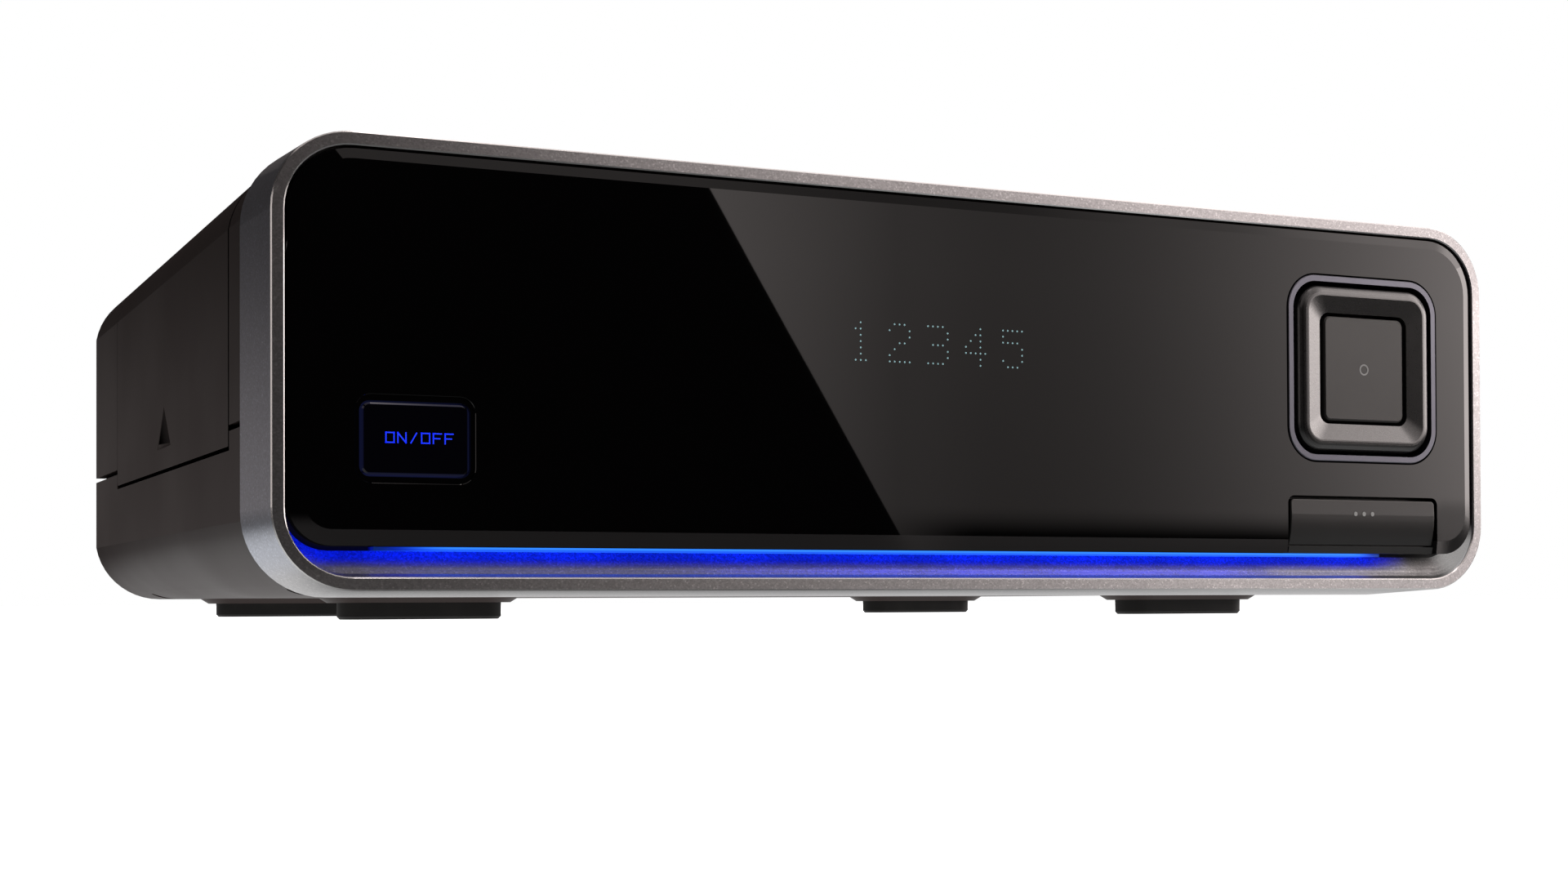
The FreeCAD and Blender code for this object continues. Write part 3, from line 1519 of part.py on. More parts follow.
def phono_jacks():
    jacks = []
    z = board_top + phono_z
    for x in phono_x:
        body = box(x - jack_body_half, x + jack_body_half, rear_panel_y - jack_body_depth,
                   rear_panel_y - loose_fit, board_top, z + jack_body_top)
        collar = rod_y(jack_collar, x, z, rear_panel_y - past, jack_root)
        barrel = rod_y(jack_radius, x, z, jack_root - bond, jack_end)
        bore = rod_y(jack_bore, x, z, jack_end - jack_bore_depth, jack_end + past)
        jacks.append(join([body, collar, barrel]).cut(bore))
    return group(jacks)


# ---------------------------------------------------------------------------------------------
# Drive cage, its connector board, the tray and the drive
# ---------------------------------------------------------------------------------------------
def both_sides(near, far):
    """The two spans of depth that lie near to far from the tray's middle."""
    return [(tray_y - far, tray_y - near), (tray_y + near, tray_y + far)]


def drive_cage():
    x0, x1 = door_inner_x + cage_front, drive_end + cage_end
    outside = cage_half + cage_sheet
    body = [box(x0, x1, tray_y - outside, tray_y + outside, cage_z, cage_z + cage_sheet)]
    for d0, d1 in both_sides(cage_half, outside):
        body.append(box(x0, x1, d0, d1, cage_z, flange_z + cage_wall))
    low, high = cage_z - past, cage_z + cage_sheet + past
    cuts = [rod_z(screw_radius + screw_clearance, x, d, low, high) for x, d in cage_post_places()]
    for x in rail_screw_places():
        cuts.append(rod_y(small_radius + screw_clearance, x, rail_z + rail_screw_rise,
                          tray_y - outside - past, tray_y + outside + past))
    across, along = cage_slot_half
    for index in range(cage_slots):
        x = x0 + cage_slot_start + cage_slot_pitch * index
        cuts.append(box(x - across, x + across, tray_y - along, tray_y + along, low, high))
    return join(body).cut(cuts)


def rail_screw_places():
    return (door_inner_x + rail_screw_front, drive_end - rail_screw_end)


def cage_posts():
    return group([rod_z(cage_post, x, d, floor_z, cage_z).cut(
        rod_z(screw_radius + thread_gap, x, d, cage_z - cage_thread, cage_z + past))
        for x, d in cage_post_places()])


def cage_screws():
    return screws_z(cage_post_places(), cage_z + cage_sheet, cage_screw_length + cage_sheet,
                    screw_radius, screw_head_radius, screw_head)


def tray_rails():
    rails = []
    x0 = door_inner_x + rail_front
    bodies = both_sides(rail_inner, cage_half)
    slots = both_sides(rail_inner - past, flange_half + rail_gap)
    threads = both_sides(cage_half - rail_thread, cage_half + past)
    for (d0, d1), (s0, s1), (t0, t1) in zip(bodies, slots, threads):
        rail = box(x0, tray_end + rail_end, d0, d1, rail_z, rail_z + rail_height)
        slot = box(x0 - past, tray_end + rail_stop, s0, s1,
                   flange_z - rail_gap, flange_z + tray_sheet + rail_gap)
        bores = [rod_y(small_radius + thread_gap, x, rail_z + rail_screw_rise, t0, t1)
                 for x in rail_screw_places()]
        rails.append(rail.cut([slot] + bores))
    return group(rails)


def rail_screws():
    places = [(x, rail_z + rail_screw_rise) for x in rail_screw_places()]
    outside = cage_half + cage_sheet
    made = []
    for side in (-1, 1):
        made += screws_y(places, tray_y + side * outside, drive_screw_length, small_radius,
                         small_head_radius, small_head, -side).Solids
    return group(made)


def drive_screw_places():
    return [drive_end - place for place in drive_hole_places]


def door_screw_places():
    reach = tray_half - door_screw_inset
    return grid((tray_y - reach, tray_y + reach),
                (tray_z + door_screw_inset, tray_front_top - door_screw_drop))


def drive_tray():
    x0 = door_inner_x
    near, far = tray_y - tray_half, tray_y + tray_half
    pieces = [box(x0, tray_end, near, far, tray_z, tray_z + tray_sheet),
              box(x0, x0 + tray_sheet, near, far, tray_z, tray_front_top)]
    for d0, d1 in both_sides(tray_half - tray_sheet, tray_half):
        pieces.append(box(x0, tray_end, d0, d1, tray_z, drive_z + tray_wall_height))
    for d0, d1 in both_sides(tray_half - bond, flange_half):
        pieces.append(box(x0 + cage_post, tray_end, d0, d1, flange_z, flange_z + tray_sheet))
    inset_x, inset_y = tray_bump_inset
    for x, d in grid((drive_x + inset_x, drive_end - inset_x),
                     (tray_y - drive_half + inset_y, tray_y + drive_half - inset_y)):
        pieces.append(rod_z(tray_bump_radius, x, d, tray_z + bond, drive_z))
    cuts = []
    for x in drive_screw_places():
        cuts.append(rod_y(screw_radius + loose_fit, x, drive_z + drive_hole_z, near - past, far + past))
        for d0, d1 in both_sides(tray_half, flange_half + past):
            cuts.append(box(x - drive_notch, x + drive_notch, d0, d1,
                            flange_z - past, flange_z + tray_sheet + past))
    for d, z in door_screw_places():
        cuts.append(rod_x(small_radius + screw_clearance, d, z, x0 - past, x0 + tray_sheet + past))
    across, along = tray_slot_half
    for index in range(tray_slots):
        x = drive_x + tray_slot_start + tray_slot_pitch * index
        cuts.append(box(x - across, x + across, tray_y - along, tray_y + along,
                        tray_z - past, tray_z + tray_sheet + past))
    return join(pieces).cut(cuts)


def drive_screws():
    places = [(x, drive_z + drive_hole_z) for x in drive_screw_places()]
    made = []
    for side in (-1, 1):
        made += screws_y(places, tray_y + side * tray_half, drive_screw_length, screw_radius,
                         drive_screw_head, drive_screw_head_height, -side).Solids
    return group(made)


def door_edge_wedge():
    """What the chamfer along the door's lower outer edge takes away."""
    face, front = -body_half, door_front - past
    corners = [V(face - past, at(front), door_z + door_chamfer + past),
               V(face - past, at(front), door_z - past),
               V(face + door_chamfer + past, at(front), door_z - past)]
    return Part.Face(Part.makePolygon(corners + [corners[0]])).extrude(V(0, door_width + 2 * past, 0))


def finger_scoop():
    """A sunk triangle: deep along its lower edge and running out at its upper corner."""
    middle = tray_y + scoop_shift
    outside = -body_half - scoop_over
    low = [V(outside, at(middle + side * scoop_width / 2), scoop_z) for side in (-1, 1)]
    tip = V(outside, at(middle), scoop_z + scoop_height)
    deep = V(-body_half + scoop_depth, at(middle), scoop_z)
    faces = []
    for corners in ((low[0], low[1], tip), (low[0], low[1], deep), (low[1], tip, deep),
                    (tip, low[0], deep)):
        faces.append(Part.Face(Part.makePolygon(list(corners) + [corners[0]])))
    scoop = Part.Solid(Part.Shell(faces))
    if scoop.Volume < 0:
        scoop.reverse()
    return scoop


def tray_door():
    body = shell_tube().common(door_zone(0))
    body = body.common(box(-half_w - past, -half_w + door_top_reach, 0, case_depth, 0, case_height))
    outside = -body_half + past
    bosses = [rod_x(door_boss, d, z, outside, door_inner_x) for d, z in door_screw_places()]
    body = join([body] + bosses)
    threads = [rod_x(small_radius + thread_gap, d, z, outside, door_inner_x + past)
               for d, z in door_screw_places()]
    return body.cut([finger_scoop(), door_edge_wedge()] + threads)


def door_screws():
    start = door_inner_x + tray_sheet
    made = []
    for d, z in door_screw_places():
        head = rod_x(small_head_radius, d, z, start, start + small_head)
        shank = rod_x(small_radius, d, z, door_inner_x - small_radius, start + bond)
        made.append(join([head, shank]))
    return group(made)


def drive_body():
    x0, x1 = drive_x, drive_end
    body = box(x0, x1, tray_y - drive_half, tray_y + drive_half, drive_z, lid_z)
    front, end, side = drive_pocket
    pocket = box(x0 + front, x1 - end, tray_y - drive_half + side, tray_y + drive_half - side,
                 drive_z - past, drive_z + drive_pocket_depth)
    half = drive_socket_half + loose_fit
    socket = box(x1 - drive_socket_depth - bezel_fit, x1 + past, connector_y - half, connector_y + half,
                 drive_z - past, drive_z + drive_socket_height[1] + screw_clearance)
    cuts = [pocket, socket]
    for x in drive_screw_places():
        for d0, d1 in both_sides(drive_half - drive_hole_depth, drive_half + past):
            cuts.append(rod_y(screw_radius + thread_gap, x, drive_z + drive_hole_z, d0, d1))
    for x, d in drive_lid_screw_places():
        cuts.append(rod_z(small_radius + thread_gap, x, d, lid_z - lid_screw_depth, lid_z + past))
    return body.cut(cuts)


def drive_lid_screw_places():
    side = drive_half - lid_screw_side
    return grid((drive_x + lid_screw_inset, drive_x + drive_size[0] / 2, drive_end - lid_screw_inset),
                (tray_y - side, tray_y + side))


def drive_lid_plate():
    middle = (drive_x + drive_end) / 2
    along, half = drive_size[0] / 2, drive_half - lid_inset
    plate = rounded_plate_z(middle, tray_y, [
        (lid_z, along - lid_inset, half, lid_corner),
        (lid_z + lid_sheet, along - lid_inset, half, lid_corner)])
    raised = rounded_plate_z(middle - lid_step_shift, tray_y, [
        (lid_z + lid_sheet / 2, along - lid_step, half - lid_step_side, lid_step_corner),
        (drive_top, along - lid_step - past, half - lid_step_side - past, lid_step_corner - past)])
    spindle = middle - lid_ring_shift
    ring = rod_z(lid_ring, spindle, tray_y, drive_top - lid_ring_depth, drive_top + past).cut(
        rod_z(lid_ring - lid_ring_width, spindle, tray_y, drive_top - past, drive_top + 2 * past))
    holes = [rod_z(small_radius + screw_clearance, x, d, lid_z - past, drive_top + past)
             for x, d in drive_lid_screw_places()]
    return join([plate, raised]).cut([ring] + holes)


def drive_lid_screws():
    seat = lid_z + lid_sheet
    return screws_z(drive_lid_screw_places(), seat, lid_screw_depth, small_radius,
                    small_head_radius, lid_screw_head)


def drive_board():
    front, end, side = drive_pocket
    gap = drive_board_gap
    high = drive_z + drive_pocket_depth
    low = high - drive_board_thick
    half = drive_half - side - gap
    plate = box(drive_x + front + gap, drive_end - end - gap, tray_y - half, tray_y + half, low, high)
    notch = drive_socket_half + loose_fit + bond
    plate = plate.cut(box(drive_end - drive_socket_depth - 2 * gap, drive_end,
                          connector_y - notch, connector_y + notch, low - past, high + past))
    chips = []
    size = drive_chip_half
    for back, beside in drive_chip_places:
        x, d = drive_end - back, tray_y + beside
        chips.append(box(x - size, x + size, d - size, d + size, low - drive_chip_height, low))
    return join([plate] + chips)


def drive_socket():
    """The connector at the end of the drive: a block with a slot that takes the fixed plug."""
    x0, x1 = drive_end - drive_socket_depth, drive_end - screw_clearance
    low, high = drive_socket_height
    body = box(x0, x1, connector_y - drive_socket_half, connector_y + drive_socket_half,
               drive_z + low, drive_z + high)
    half = drive_slot_half
    return body.cut(box(x0 + plug_face, x1 + past, connector_y - half, connector_y + half,
                        drive_z + drive_slot[0], drive_z + drive_slot[1]))


def drive_plug():
    """The fixed connector on the upright board."""
    z = drive_z + plug_middle
    block = box(drive_end + plug_face, sata_board_x, connector_y - plug_half, connector_y + plug_half,
                z - plug_half_height, z + plug_half_height)
    blade = box(drive_end - blade_reach, drive_end + plug_face + bond, connector_y - blade_half,
                connector_y + blade_half, z - blade_half_height, z + blade_half_height)
    return join([block, blade])


def upright_board():
    return box(sata_board_x, sata_board_x + board_thick, connector_y - upright_half,
               connector_y + upright_half, board_top + upright_foot, drive_z + upright_top)


def upright_slot():
    x0, x1 = sata_board_x, sata_board_x + board_thick
    inside, fit = upright_half + upright_slot_end, upright_slot_fit
    body = box(x0 - upright_slot_wall, x1 + upright_slot_wall, connector_y - upright_slot_half,
               connector_y + upright_slot_half, board_top, board_top + upright_slot_height)
    return body.cut(box(x0 - fit, x1 + fit, connector_y - inside, connector_y + inside,
                        board_top + upright_foot, board_top + upright_slot_height + past))


# ---------------------------------------------------------------------------------------------
# Export
# ---------------------------------------------------------------------------------------------
nodes = [
    front_frame, front_panel, panel_carrier, nav_bezel, light_guide, led_strip, led_screws,
    display_module, front_board, front_board_screws, tact_switches, infrared_receiver,
    ribbon_sockets, ribbon_cable,
    power_button, ok_button, option_button, nav_ring, nav_gimbal,
    top_cover, base_shell, case_screws, rubber_feet, rear_panel, rear_screws,
    fan_frame, fan_rotor, fan_screws,
    main_board, board_standoffs, board_screws, processor, heatsink, memory_chips, capacitors,
    coin_cell, coin_cell_holder,
    power_socket, video_socket, network_socket, bus_sockets, optical_socket, phono_jacks,
    drive_cage, cage_posts, cage_screws, tray_rails, rail_screws,
    drive_tray, drive_screws, tray_door, door_screws,
    drive_body, drive_lid_plate, drive_lid_screws, drive_board, drive_socket,
    drive_plug, upright_board, upright_slot,
]

os.makedirs("parts", exist_ok=True)
for make in nodes:
    shape = make()
    shape.exportStep("parts/%s.step" % make.__name__)
    print(make.__name__, len(shape.Solids), "solids", round(shape.Volume), "mm3", shape.isValid())
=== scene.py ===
"""The looks of the media player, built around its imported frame.  Metres, in the frame's own axes."""
import math
import random

import bmesh
import bpy
from mathutils import Matrix, Vector
from mathutils.bvhtree import BVHTree


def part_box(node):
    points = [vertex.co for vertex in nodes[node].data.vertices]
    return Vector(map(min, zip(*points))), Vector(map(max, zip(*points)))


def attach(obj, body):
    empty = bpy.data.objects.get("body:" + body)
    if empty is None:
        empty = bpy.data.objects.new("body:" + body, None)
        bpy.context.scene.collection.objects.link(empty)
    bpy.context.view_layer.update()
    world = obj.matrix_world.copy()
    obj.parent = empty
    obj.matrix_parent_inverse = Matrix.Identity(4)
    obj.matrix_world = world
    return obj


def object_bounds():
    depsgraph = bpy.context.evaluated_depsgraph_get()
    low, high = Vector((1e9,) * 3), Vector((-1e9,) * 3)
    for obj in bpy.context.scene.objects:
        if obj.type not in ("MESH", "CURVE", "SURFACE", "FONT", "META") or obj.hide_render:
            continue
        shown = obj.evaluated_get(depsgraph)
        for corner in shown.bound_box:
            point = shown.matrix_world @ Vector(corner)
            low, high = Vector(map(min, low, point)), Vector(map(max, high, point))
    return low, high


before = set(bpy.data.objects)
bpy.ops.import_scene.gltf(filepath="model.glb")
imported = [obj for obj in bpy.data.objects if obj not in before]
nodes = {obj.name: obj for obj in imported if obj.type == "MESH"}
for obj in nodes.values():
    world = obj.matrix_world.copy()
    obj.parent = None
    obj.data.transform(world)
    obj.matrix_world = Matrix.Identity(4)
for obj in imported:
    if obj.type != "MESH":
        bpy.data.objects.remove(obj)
cad_low, cad_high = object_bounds()
scene = bpy.context.scene
MM = 0.001

# ---------------------------------------------------------------------------
# Places taken from the frame
# ---------------------------------------------------------------------------
frame_low, frame_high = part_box("front_frame")
panel_low, panel_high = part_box("front_panel")
power_low, power_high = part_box("power_button")
power_middle = (power_low + power_high) / 2
ok_low, ok_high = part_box("ok_button")
option_low, option_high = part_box("option_button")
guide_low, guide_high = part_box("light_guide")
display_low, display_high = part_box("display_module")
door_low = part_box("tray_door")[0]
lid_low, lid_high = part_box("drive_lid_plate")
board_low, board_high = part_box("main_board")
jacks_low, jacks_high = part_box("phono_jacks")
rear_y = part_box("rear_panel")[1].y
face_y = frame_low.y

# ---------------------------------------------------------------------------
# Camera, solved from the photograph's straight edges
# ---------------------------------------------------------------------------
IMAGE_WIDTH = 1920.0
FOCAL_PIXELS = 2623.688
CAMERA_YAW = 25.085           # degrees, to the right of the face's square view
CAMERA_PITCH = 0.764
CAMERA_ROLL = -0.239
CAMERA_FROM_FACE = Vector((-219.351, -384.032, 3.246)) * MM
SHIFT_PIXELS = 162.511


def make_camera():
    data = bpy.data.cameras.new("camera")
    camera = bpy.data.objects.new("camera", data)
    scene.collection.objects.link(camera)
    yaw, pitch, roll = (math.radians(a) for a in (CAMERA_YAW, CAMERA_PITCH, CAMERA_ROLL))
    ahead = Vector((math.sin(yaw) * math.cos(pitch), math.cos(yaw) * math.cos(pitch), math.sin(pitch)))
    level = Vector((math.cos(yaw), -math.sin(yaw), 0))
    plumb = level.cross(ahead)
    right = math.cos(roll) * level + math.sin(roll) * plumb
    up = math.cos(roll) * plumb - math.sin(roll) * level
    camera.matrix_world = Matrix.Translation(CAMERA_FROM_FACE + Vector((0, face_y, 0))) @ Matrix(
        (right, up, -ahead)).transposed().to_4x4()
    data.sensor_width = 36.0
    data.lens = data.sensor_width * FOCAL_PIXELS / IMAGE_WIDTH
    data.shift_y = SHIFT_PIXELS / IMAGE_WIDTH
    data.clip_start = 0.01
    data.clip_end = 50.0
    scene.camera = camera


make_camera()


# ---------------------------------------------------------------------------
# Node helpers
# ---------------------------------------------------------------------------
class Tree:
    """A new material with a Principled shader, and a short way to write its nodes."""

    def __init__(self, name, base=(0.5, 0.5, 0.5), rough=0.5, metallic=0.0, ior=1.5, specular=0.5):
        self.material = bpy.data.materials.new(name)
        self.material.use_nodes = True
        self.nodes = self.material.node_tree.nodes
        self.shader = self.nodes["Principled BSDF"]
        self.coords = None
        self.wear(Base_Color=base, Roughness=rough, Metallic=metallic, IOR=ior, Specular_IOR_Level=specular)

    def add(self, kind, **values):
        """A new node with its settings or, where it has none of that name, its inputs set."""
        node = self.nodes.new(kind)
        for name, value in values.items():
            if hasattr(node, name):
                setattr(node, name, value)
            else:
                node.inputs[name].default_value = value
        return node

    def link(self, out, into):
        self.material.node_tree.links.new(out, into)

    def feed(self, value, socket):
        """Links an output to a socket, or sets the socket to a number or an opaque colour."""
        if isinstance(value, (int, float)):
            socket.default_value = value
        elif isinstance(value, tuple):
            socket.default_value = (*value, 1.0)
        else:
            self.link(value, socket)

    def wear(self, **values):
        """Feeds inputs of the Principled shader.  In their names _ stands for a space."""
        for name, value in values.items():
            self.feed(value, self.shader.inputs[name.replace("_", " ")])

    def place(self):
        if self.coords is None:
            self.coords = self.add("ShaderNodeTexCoord").outputs["Object"]
        return self.coords

    def split(self, vector):
        node = self.add("ShaderNodeSeparateXYZ")
        self.link(vector, node.inputs[0])
        return node.outputs

    def axes(self):
        """The place's x, y and z."""
        return self.split(self.place())

    def normal(self, axis):
        """One part of the surface's normal, 0 for the part along x."""
        return self.split(self.add("ShaderNodeTexCoord").outputs["Normal"])[axis]

    def math(self, operation, *values):
        node = self.add("ShaderNodeMath", operation=operation)
        for value, socket in zip(values, node.inputs):
            self.feed(value, socket)
        return node.outputs[0]

    def product(self, first, *others):
        for other in others:
            first = self.math("MULTIPLY", first, other)
        return first

    def total(self, first, *others):
        for other in others:
            first = self.math("ADD", first, other)
        return first

    def scaled(self, value, by, plus):
        """value * by + plus."""
        return self.math("MULTIPLY_ADD", value, by, plus)

    def largest(self, first, *others):
        for other in others:
            first = self.math("MAXIMUM", first, other)
        return first

    def unless(self, value):
        """1 where a value is 0, and 0 where it is 1."""
        return self.math("SUBTRACT", 1.0, value)

    def past(self, value, edge):
        """How far a value is past an edge, or 0."""
        return self.largest(self.math("SUBTRACT", value, edge), 0.0)

    def away(self, value, middle):
        """A value's distance from a middle."""
        return self.math("ABSOLUTE", self.math("SUBTRACT", value, middle))

    def diagonal(self, a, b):
        """The length of a diagonal over two sides."""
        return self.math("SQRT", self.total(self.product(a, a), self.product(b, b)))

    def ramp(self, value, low, high, to_low=0.0, to_high=1.0, smooth=True):
        """Takes low to to_low and high to to_high, and holds both ends."""
        kind = "SMOOTHSTEP" if smooth else "LINEAR"
        node = self.add("ShaderNodeMapRange", clamp=True, interpolation_type=kind)
        for number, socket in zip((value, low, high, to_low, to_high), node.inputs):
            self.feed(number, socket)
        return node.outputs[0]

    def noise(self, scale, detail=2.0, roughness=0.5, stretch=None):
        node = self.add("ShaderNodeTexNoise", Scale=scale, Detail=detail, Roughness=roughness)
        self.link(self.stretched(stretch), node.inputs["Vector"])
        return node.outputs["Fac"]

    def stretched(self, stretch):
        """The place, with a scale for each axis."""
        if stretch is None:
            return self.place()
        node = self.add("ShaderNodeMapping", Scale=stretch)
        self.link(self.place(), node.inputs["Vector"])
        return node.outputs[0]

    def cells(self, scale, output="Distance", feature="F1"):
        node = self.add("ShaderNodeTexVoronoi", feature=feature, Scale=scale)
        self.link(self.place(), node.inputs["Vector"])
        return node.outputs[output]

    def mix(self, factor, a, b, blend="MIX"):
        """Two colours mixed."""
        node = self.add("ShaderNodeMix", data_type="RGBA", blend_type=blend)
        for value, socket in ((factor, 0), (a, 6), (b, 7)):
            self.feed(value, node.inputs[socket])
        return node.outputs[2]

    def mix_value(self, factor, a, b):
        """Two numbers mixed."""
        node = self.add("ShaderNodeMix")
        for value, socket in ((factor, 0), (a, 2), (b, 3)):
            self.feed(value, node.inputs[socket])
        return node.outputs[0]

    def tinted(self, a, b):
        """One colour multiplied by another."""
        return self.mix(1.0, a, b, "MULTIPLY")

    def grey(self, value):
        """A number as a grey colour."""
        node = self.add("ShaderNodeCombineColor")
        for socket in node.inputs:
            self.feed(value, socket)
        return node.outputs[0]

    def bump(self, height, strength, distance):
        node = self.add("ShaderNodeBump", Strength=strength, Distance=distance)
        self.link(height, node.inputs["Height"])
        return node.outputs[0]


# ---------------------------------------------------------------------------
# Materials of the outside
# ---------------------------------------------------------------------------
BLUE = (0.0012, 0.011, 0.74)
BLUE_LINE = (0.03, 0.23, 0.97)
FLAKE_SCALE = 3300.0          # flakes per metre
PAINT = (0.46, 0.446, 0.45)
# a painted reflection tint for the frame's left-facing side
SIDE_REFLECTION_TINT = (0.43, 0.45, 0.52)
# a painted highlight colour for the frame's chamfers
CHAMFER_HIGHLIGHT = (0.9, 0.89, 0.88)
# the ramp's paint, painted lighter to stand in for the light it catches
RAMP_LIT_PAINT = (0.8, 0.79, 0.79)
CORNER_BOUNCE = (0.3, 0.29, 0.285)
FRAME_CORNER = 16.0 * MM      # corner radii of the frame's rear edge and of the panel's lower corners
PANEL_CORNER = 8.0 * MM
PANEL_BLACK = (0.0006, 0.0006, 0.0007)
POWER_FLANGE = 1.6 * MM       # how far the button's flange reaches past its face
SHELL_DARK = (0.024, 0.0158, 0.0146)
SHELL_PALE = (0.032, 0.0222, 0.0205)
# a painted shade colour for the door's scoop and edges
DOOR_SHADE = (0.0008, 0.0007, 0.0007)
# a painted highlight colour for the finger scoop's foot
DOOR_LEDGE_LIGHT = (0.1, 0.085, 0.08)
SCOOP_LOW = 5.2 * MM          # the finger scoop's shaded zone, above the door's lower edge
SCOOP_LEDGE = 6.55 * MM       # top of its foot, which is painted lighter as a highlight
SCOOP_HIGH = 15.95 * MM
SCOOP_BACK = 88.3 * MM        # behind the door's front edge
SCOOP_DEPTH = 2.0 * MM


def frame_metal():
    """Satin paint with fine metal flake and the glow on the ramp, with painted light and shade: chamfers
    painted bright as a highlight, painted shade on the face's left and upper right, a painted lighter lower
    rim, a painted bluer tint on the side and a painted lighter ramp.
    """
    t = Tree("frame_metal", PAINT, 0.31, 0.92)
    x, y, z = t.axes()
    flake = t.split(t.cells(FLAKE_SCALE, "Color"))[0]
    tone = t.total(t.scaled(flake, 0.3, 0.82), t.product(t.ramp(flake, 0.9, 1.0), 0.28))
    facing = t.math("ABSOLUTE", t.normal(1))
    # painted shade: the left of the front face is darkened
    left_face_shade = t.product(t.ramp(facing, 0.97, 0.99), t.ramp(x, frame_low.x, -50.0 * MM, 0.42, 0.0))
    # painted light: the lower rim is lighter, fading out from x = 60 mm to 120 mm
    low_rim = t.product(t.ramp(z, frame_low.z + 6.0 * MM, frame_low.z + 3.0 * MM), t.ramp(facing, 0.9, 0.97))
    low_rim_light = t.mix_value(t.ramp(x, 60.0 * MM, 120.0 * MM), t.scaled(low_rim, 0.36, 1.0), 1.0)
    # painted shade: the upper right rim is darker, and its chamfers dimmer
    high_rim_shade = t.product(t.ramp(z, 70.0 * MM, 80.0 * MM), t.ramp(x, 50.0 * MM, 110.0 * MM))
    # the flake tone times the painted shade and painted light above
    tone = t.product(tone, t.unless(left_face_shade), low_rim_light, t.scaled(high_rim_shade, -0.24, 1.0))
    # painted highlight: the chamfers by the face are painted bright
    bright = t.product(t.ramp(facing, 0.5, 0.6), t.ramp(facing, 0.9, 0.82),
                       t.ramp(y, face_y + 1.0 * MM, face_y + 0.6 * MM),
                       t.scaled(high_rim_shade, -0.7, 1.0))
    blue_part = glow_on_ramp(t, x, y, z, flake)
    shade = t.product(tone, t.scaled(blue_part, -0.93, 1.0))
    # painted reflection: faces turned to the left take a bluer tint
    paint = t.tinted(t.mix(t.ramp(t.normal(0), -0.5, -0.9), PAINT, SIDE_REFLECTION_TINT), t.grey(shade))
    # the ramp's paint is rougher, and painted lighter for the light it catches
    ramp_part = t.product(t.ramp(y, face_y + 1.5 * MM, face_y + 2.2 * MM), on_ramp(t, x, z))
    paint = t.mix(t.product(ramp_part, 0.5), paint, t.tinted(RAMP_LIT_PAINT, t.grey(shade)))
    rough = t.scaled(bright, -0.1, 0.31)
    t.wear(Base_Color=t.mix(bright, paint, CHAMFER_HIGHLIGHT),
           Roughness=t.scaled(ramp_part, 0.12, rough),
           Normal=t.bump(flake, 0.08, 0.00006))
    return t.material


def depth_inside(t, x, z, half, low, corner):
    """How far a point lies inside the sides and the rounded lower corners of an outline."""
    across = t.past(t.math("ABSOLUTE", x), half - corner)
    down = t.largest(t.math("SUBTRACT", low + corner, z), 0.0)
    return t.math("SUBTRACT", corner, t.diagonal(across, down))


def on_ramp(t, x, z):
    """1 inside the rim's outline, 0 on the frame's outside."""
    inside = depth_inside(t, x, z, frame_high.x, frame_low.z, FRAME_CORNER)
    return t.ramp(inside, 2.7 * MM, 3.3 * MM)


def glow_on_ramp(t, x, y, z, flake):
    """Blue light from the slot over the ramp, strongest under the panel, with an echo near the rim."""
    slot_z = guide_low.z
    rim_z = frame_low.z + 3.5 * MM
    inside = t.product(t.ramp(y, face_y + 0.25 * MM, face_y + 0.8 * MM),
                       t.ramp(z, slot_z + 9.0 * MM, slot_z + 3.0 * MM),
                       t.ramp(y, face_y + 7.5 * MM, face_y + 6.0 * MM), on_ramp(t, x, z))
    along = t.product(t.ramp(x, guide_low.x - 20.0 * MM, guide_low.x - 8.0 * MM, 0.25, 1.0),
                      t.ramp(x, guide_high.x + 10.0 * MM, guide_high.x - 4.0 * MM))
    height = t.ramp(z, rim_z, slot_z, smooth=False)
    near_slot = t.ramp(height, 0.3, 0.85)
    faint = t.product(t.ramp(height, 0.02, 0.3), 0.06)
    echo = t.product(t.ramp(height, 0.06, 0.24), t.ramp(height, 0.5, 0.3),
                     t.ramp(x, -70 * MM, -20 * MM), t.ramp(x, 92 * MM, 62 * MM), 0.7)
    patches = t.ramp(t.noise(42.0, stretch=(1.0, 0.2, 0.2)), 0.32, 0.68, 0.7, 1.1)
    sparkle = t.scaled(flake, 0.8, 0.6)
    level = t.product(t.total(near_slot, echo, faint), sparkle, patches, inside, along)
    line_ends = t.product(t.ramp(x, guide_low.x - 6.0 * MM, guide_low.x + 12.0 * MM),
                          t.ramp(x, guide_high.x, guide_high.x - 8.0 * MM))
    tint = t.mix(t.product(t.ramp(height, 0.97, 1.0), line_ends, 0.7), BLUE, BLUE_LINE)
    corner = t.product(inside, t.ramp(x, 128 * MM, 134 * MM), t.ramp(z, 24 * MM, 16 * MM))
    t.wear(Emission_Color=t.mix(corner, t.tinted(tint, t.grey(level)), CORNER_BOUNCE),
           Emission_Strength=0.95)
    return t.product(inside, along, t.ramp(height, 0.2, 0.75))


